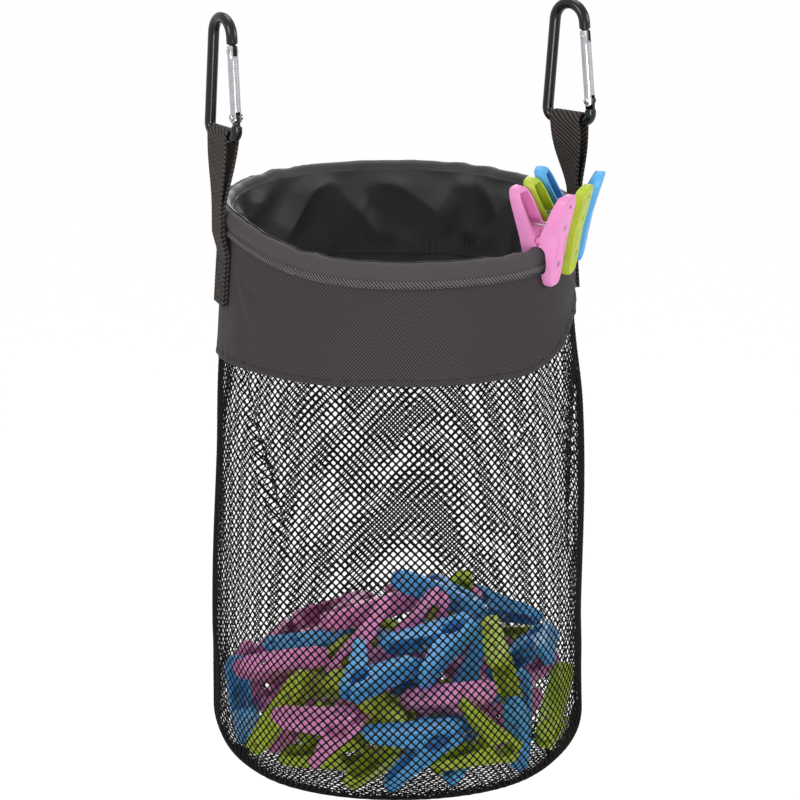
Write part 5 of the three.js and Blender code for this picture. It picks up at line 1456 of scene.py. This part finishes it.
def add_rim_peg(colour, theta):
    """Two jaws and a wire, placed together; each half of the wire is drawn turned with its own jaw."""
    turn, place = peg_frame(theta)
    jaw_points, jaw_faces = JAW[True]
    inner_points, inner_faces = joined([(jaw_points * [-1, -1, 1], jaw_faces), boss(20)])
    shells = (
        ("outer_jaw", jaw_points, jaw_faces, -OUTER_OPENING, f"{colour}_outer_jaw"),
        ("inner_jaw", inner_points, inner_faces, INNER_OPENING, "bag"),
    )
    for name, points, faces, opening, rides_on in shells:
        points = points @ turn_about(1, opening).T @ turn.T + place
        piece = add_piece(f"{colour}_{name}_shell", points, faces, PLASTIC[colour], sharp_above=JAW_SHARP)
        dress(piece, rides_on, f"{colour}_plastic", f"{colour}_peg_{name}")
    wire_points, wire_faces = tube(wire_line(OUTER_OPENING, INNER_OPENING, 8), WIRE / 2, 10)
    wire = add_piece(f"{colour}_wire", wire_points @ turn.T + place, wire_faces, SPRING_STEEL)
    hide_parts(f"{colour}_peg_spring")
    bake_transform(wire)


for colour, theta in PEG_ANGLES.items():
    add_rim_peg(colour, theta)
print("jaws on the rim open by", np.round(np.degrees([OUTER_OPENING, INNER_OPENING]), 1).tolist(), "degrees")

# %% [markdown]
# # The heap
# Loose pegs lie jumbled in the bottom of the net. Some of them are solids in the frame: their places are
# read back from those solids by their long, middle and short axes. More pegs are then settled between and
# on them. Of many tried places, two in three flat against the net, each new peg drops as low as it can and
# takes the place that is lowest and farthest out. Free space is kept as a grid of small cubes, so a try is
# one look-up of all the peg's points at every height.

# %% Loose peg
loose_jaw, loose_faces = JAW[False]
loose_wire = tube(wire_line(0, 0, 2), WIRE / 2, 5)
LOOSE = joined([(loose_jaw, loose_faces), (loose_jaw * [-1, -1, 1], loose_faces), boss(10), loose_wire])
LOOSE_ALL, LOOSE_STEEL = (sum(len(group) for group in groups) for groups in (LOOSE[1], loose_wire[1]))
LOOSE_FINISH = (np.arange(LOOSE_ALL) >= LOOSE_ALL - LOOSE_STEEL).astype(int)


def add_loose_peg(name, colour, turn, place, *nodes):
    """A closed peg, turned and put in its place."""
    points, faces = LOOSE
    finishes = [PLASTIC[colour], SPRING_STEEL]
    piece = add_piece(name, points @ turn.T + place, faces, finishes, None, LOOSE_FINISH, JAW_SHARP)
    return dress(piece, "bag", f"{colour}_plastic", *nodes)


def pose_of(node):
    """A peg's turn and place from its solid: its corners' main axes, with the narrow jaw end down."""
    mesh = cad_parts[node].data
    corners = np.zeros(len(mesh.vertices) * 3)
    mesh.vertices.foreach_get("co", corners)
    corners = np.unique(np.round(corners.reshape(-1, 3) / MM, 3), axis=0)
    about = corners - corners.mean(0)
    _, axes = np.linalg.eigh(np.cov(about.T))
    _, wide, long = axes.T
    reach, spread = about @ long, about @ wide
    spread_up = np.ptp(spread[reach > np.percentile(reach, 80)])
    spread_down = np.ptp(spread[reach < np.percentile(reach, 20)])
    long = long if spread_up > spread_down else -long
    turn = np.stack([wide, np.cross(long, wide), long], -1)
    local = corners @ turn
    low, high = local.min(0), local.max(0)
    middle = (low + high) / 2
    return turn, turn @ np.array([middle[0], middle[1], low[2] + JAW_LENGTH])


# %% Room in the net
CUBE, PEG_REACH = 2.0, 26
SEAM_HALF_ANGLE, SEAM_ROOM = 0.06, 3
ROOM_LOW, ROOM_HIGH = np.array([-126.0, -126, -512]), np.array([126.0, 126, -352])
room_shape = np.ceil((ROOM_HIGH - ROOM_LOW) / CUBE).astype(int)
cubes = [ROOM_LOW[k] + (np.arange(room_shape[k]) + 0.5) * CUBE for k in range(3)]
cube_r = np.hypot(cubes[0][:, None], cubes[1][None, :])[..., None]
cube_z = cubes[2][None, None, :]
bowl = DISH_RADIUS - 0.6
out = np.maximum(cube_r - CORNER_X, 0)
taken = np.where(cube_z < CORNER_Z, np.hypot(out, CORNER_Z - cube_z) > bowl, out > bowl)
cube_theta = np.arctan2(cubes[1][None, :], cubes[0][:, None])[..., None]
seam_near = np.abs(turn_from(cube_theta, SEAM_ANGLE)) < SEAM_HALF_ANGLE
taken |= seam_near & (cube_r > CORNER_X + bowl - SEAM_ROOM)


def solid_points(step, across):
    """Places inside a closed peg: a grid on its side view, repeated across its width."""
    up, out = np.arange(-JAW_LENGTH + 1, HANDLE_LENGTH, step), np.arange(-PEG_REACH, PEG_REACH + 0.1, step)
    z, x = np.meshgrid(up, out, indexing="ij")
    inside = (np.abs(x) <= outer_face(z)) & (np.abs(x) >= inner_face(z) - 0.4)
    flat = np.stack([x[inside], 0 * x[inside], z[inside]], -1)
    return (flat[None] + across[:, None, None] * np.array([0, 1, 0])).reshape(-1, 3)


FULL = solid_points(1.5, np.linspace(-7, 7, 9))
PROBE = solid_points(2.6, np.linspace(-6.2, 6.2, 5)) * [0.95, 1, 0.97]


def mark(turn, place):
    """Takes up the cubes that a peg fills."""
    at = ((FULL @ turn.T + place - ROOM_LOW) / CUBE).astype(int)
    at = at[np.all((at >= 0) & (at < room_shape), axis=1)]
    taken[at[:, 0], at[:, 1], at[:, 2]] = True


colours = ("pink", "green", "blue")
heap_nodes = sorted(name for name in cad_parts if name.startswith("heap_peg"))
lying = {colour: [] for colour in colours}
for number, node in enumerate(heap_nodes):
    turn, place = pose_of(node)
    mark(turn, place)
    lying[colours[number % 3]].append(place)
    add_loose_peg(node.replace("heap_peg", "loose_peg"), colours[number % 3], turn, place, node)
print("pegs from solids:", len(heap_nodes), "room taken:", round(float(taken.mean()), 3))

# %% [markdown]
# The heap is a mound: higher in the middle and to the right, lower at the wall on the left, as the
# photograph shows. A place counts only if the whole peg stays under that mound. Each new peg takes the colour
# whose nearest peg is farthest away, so no colour gathers in one spot.

# %% Settle more pegs
MORE_PEGS, TRIES, HEAP_SEED = 60, 300, 12
WORTH_OF_OUTSIDE, LOOSE_REACH = 0.35, 108
STEEPEST, OFF_NET, OFF_NET_SPREAD = 1.2, 9, 7
MOUND_EDGE, MOUND_RISE, MOUND_WIDTH = -424.0, 54.0, 80.0
MOUND_MIDDLE = np.array([22.0, 0.0])
rng = np.random.default_rng(HEAP_SEED)


def mound_top(x, y):
    """The heap's top: an edge level and a bell curve of rise about a place a little right of the middle."""
    off = np.hypot(x - MOUND_MIDDLE[0], y - MOUND_MIDDLE[1])
    return MOUND_EDGE + MOUND_RISE * np.exp(-((off / MOUND_WIDTH) ** 2))


def random_turn():
    """A random turn, from a random unit quaternion."""
    four = rng.normal(size=4)
    w, x, y, z = four / np.linalg.norm(four)
    return np.array([
        [1 - 2 * (y * y + z * z), 2 * (x * y - w * z), 2 * (x * z + w * y)],
        [2 * (x * y + w * z), 1 - 2 * (x * x + z * z), 2 * (y * z - w * x)],
        [2 * (x * z - w * y), 2 * (y * z + w * x), 1 - 2 * (x * x + y * y)],
    ])


def lowest_place(turn, x, y):
    """The lowest free height for a turned peg over a place, after a mark that is smaller low down and far
    out; nothing where the peg would stand out of the mound."""
    probe = PROBE @ turn.T + [x, y, 0]
    flat = ((probe[:, :2] - ROOM_LOW[:2]) / CUBE).astype(int)
    if (flat < 0).any() or (flat >= room_shape[:2]).any():
        return None
    foot = probe[:, 2].min()
    rise = ((probe[:, 2] - foot) / CUBE).astype(int)
    levels = np.arange(1, room_shape[2] - rise.max())
    hit = taken[flat[:, 0], flat[:, 1], rise + levels[:, None]].any(1)
    free = np.flatnonzero(~hit)
    if not len(free):
        return None
    z = ROOM_LOW[2] + (levels[free[0]] + 0.2) * CUBE - foot
    over = (probe[:, 2] + z - mound_top(probe[:, 0], probe[:, 1])).max()
    return None if over > 0 else (z + probe[:, 2].mean() - WORTH_OF_OUTSIDE * math.hypot(x, y), z)


def wall_turn(angle, tilt):
    """A turn that lays a peg flat on the net: its width points out and down, its length any way along it."""
    out = np.array([math.cos(angle) * math.cos(tilt), math.sin(angle) * math.cos(tilt), -math.sin(tilt)])
    along = np.array([-math.sin(angle), math.cos(angle), 0])
    roll = rng.uniform(0, 2 * math.pi)
    length = math.cos(roll) * along + math.sin(roll) * np.cross(out, along)
    return np.stack([np.cross(out, length), out, length], 1)


settled = 0
for number in range(MORE_PEGS):
    best = None
    for attempt in range(TRIES):
        angle = rng.uniform(0, 2 * math.pi)
        if attempt % 3:
            tilt = rng.uniform(0, STEEPEST)
            turn = wall_turn(angle, tilt)
            reach = CORNER_X + (bowl - OFF_NET) * math.cos(tilt) - rng.uniform(0, OFF_NET_SPREAD)
        else:
            turn, reach = random_turn(), LOOSE_REACH * math.sqrt(rng.random())
        x, y = reach * math.cos(angle), reach * math.sin(angle)
        found = lowest_place(turn, x, y)
        if found and (best is None or found[0] < best[0]):
            best = (found[0], turn, np.array([x, y, found[1]]))
    if best is None:
        continue
    _, turn, place = best
    mark(turn, place)
    settled += 1
    apart = {colour: np.linalg.norm(place - np.array(lying[colour]), axis=1).min() for colour in colours}
    colour = max(apart, key=apart.get)
    lying[colour].append(place)
    add_loose_peg(f"loose_peg_{len(heap_nodes) + settled:02d}", colour, turn, place)
print("pegs settled:", settled, "room taken:", round(float(taken.mean()), 3))

# %% [markdown]
# # What stays as solids
# The hoop, its ferrule, and the plungers and springs inside the gates keep their solids, because they are
# hidden or already have the right shape. They only get the steel finishes.

# %% Steel for the hidden pieces
for name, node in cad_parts.items():
    if not node.hide_render:
        finish = POLISH if "plunger" in name else SPRING_STEEL
        node.data.materials.clear()
        node.data.materials.append(finish)
        print("kept solid:", name)

# %% [markdown]
# # Stage and light
# The photograph has a white ground and soft, even light. The floor lies well below the hanging bag and
# takes its shadow. What the camera sees past the bag, directly or mirrored, is plain white; the light
# itself comes from a pale sky and five large lamps, at a level at which a colour looks as it is written.

# %% Floor, sky and lamps
FLOOR_Z, FLOOR_HALF = -950, 9000
FLOOR_GREY, FLOOR_GLOW, FLOOR_SHARE = (0.8, 0.8, 0.8, 1), 1.08, 0.9
WHITE, SKY = (1, 1, 1, 1), 0.3


def seen_ray(tree, *kinds):
    """1 for a ray of one of the given kinds and 0 for any other."""
    path = add_node(tree, "ShaderNodeLightPath")
    seen = path[kinds[0]]
    for kind in kinds[1:]:
        seen = add_node(tree, "ShaderNodeMath", {"operation": "MAXIMUM"}, n0=seen, n1=path[kind])[0]
    return seen


def floor_finish():
    """A pale floor: a plain diffuse surface under a glow that only the camera and mirrored rays see."""
    material = bpy.data.materials.new("pale_floor")
    material.use_nodes = True
    tree = material.node_tree
    tree.nodes.clear()
    diffuse = add_node(tree, "ShaderNodeBsdfDiffuse", Color=FLOOR_GREY)[0]
    glow = add_node(tree, "ShaderNodeEmission", Strength=FLOOR_GLOW)[0]
    seen = seen_ray(tree, "Is Camera Ray", "Is Glossy Ray")
    share = add_node(tree, "ShaderNodeMath", {"operation": "MULTIPLY"}, n0=seen, n1=FLOOR_SHARE)[0]
    mixed = add_node(tree, "ShaderNodeMixShader", n0=share, n1=diffuse, n2=glow)[0]
    add_node(tree, "ShaderNodeOutputMaterial", Surface=mixed)
    return material


floor_points = np.array([[-1, -1, 0], [1, -1, 0], [1, 1, 0], [-1, 1, 0]]) * FLOOR_HALF + [0, 0, FLOOR_Z]
floor = add_piece("floor", floor_points, np.array([[0, 1, 2, 3]]), floor_finish())

world = bpy.data.worlds.new("studio")
world.use_nodes = True
bpy.context.scene.world = world
world.node_tree.nodes.clear()
sky = add_node(world.node_tree, "ShaderNodeBackground", Color=WHITE, Strength=SKY)[0]
shown = add_node(world.node_tree, "ShaderNodeBackground", Color=WHITE)[0]
seen = seen_ray(world.node_tree, "Is Camera Ray", "Is Glossy Ray", "Is Transmission Ray")
mixed = add_node(world.node_tree, "ShaderNodeMixShader", n0=seen, n1=sky, n2=shown)[0]
add_node(world.node_tree, "ShaderNodeOutputWorld", Surface=mixed)


def lamp(name, place, target, size, watts):
    """A large square lamp that points at a place."""
    light = bpy.data.lights.new(name, "AREA")
    light.size, light.energy = size, watts
    made = bpy.data.objects.new(name, light)
    made.location = place
    made.rotation_euler = (Vector(target) - Vector(place)).to_track_quat("-Z", "Y").to_euler()
    bpy.context.scene.collection.objects.link(made)


MIDDLE = (0, 0, -0.27)
lamp("left", (-1.8, -0.9, 0.7), MIDDLE, 0.8, 18)
lamp("right", (1.8, -0.9, 0.5), MIDDLE, 0.8, 16)
lamp("front", (-0.3, -1.6, -0.36), (0, 0, -0.46), 0.5, 12)
lamp("top", (0.1, 0.3, 1.5), MIDDLE, 1.2, 15)
lamp("rear", (0.6, 1.6, 0.5), MIDDLE, 1.2, 14)
bpy.context.scene.view_settings.view_transform = "Standard"
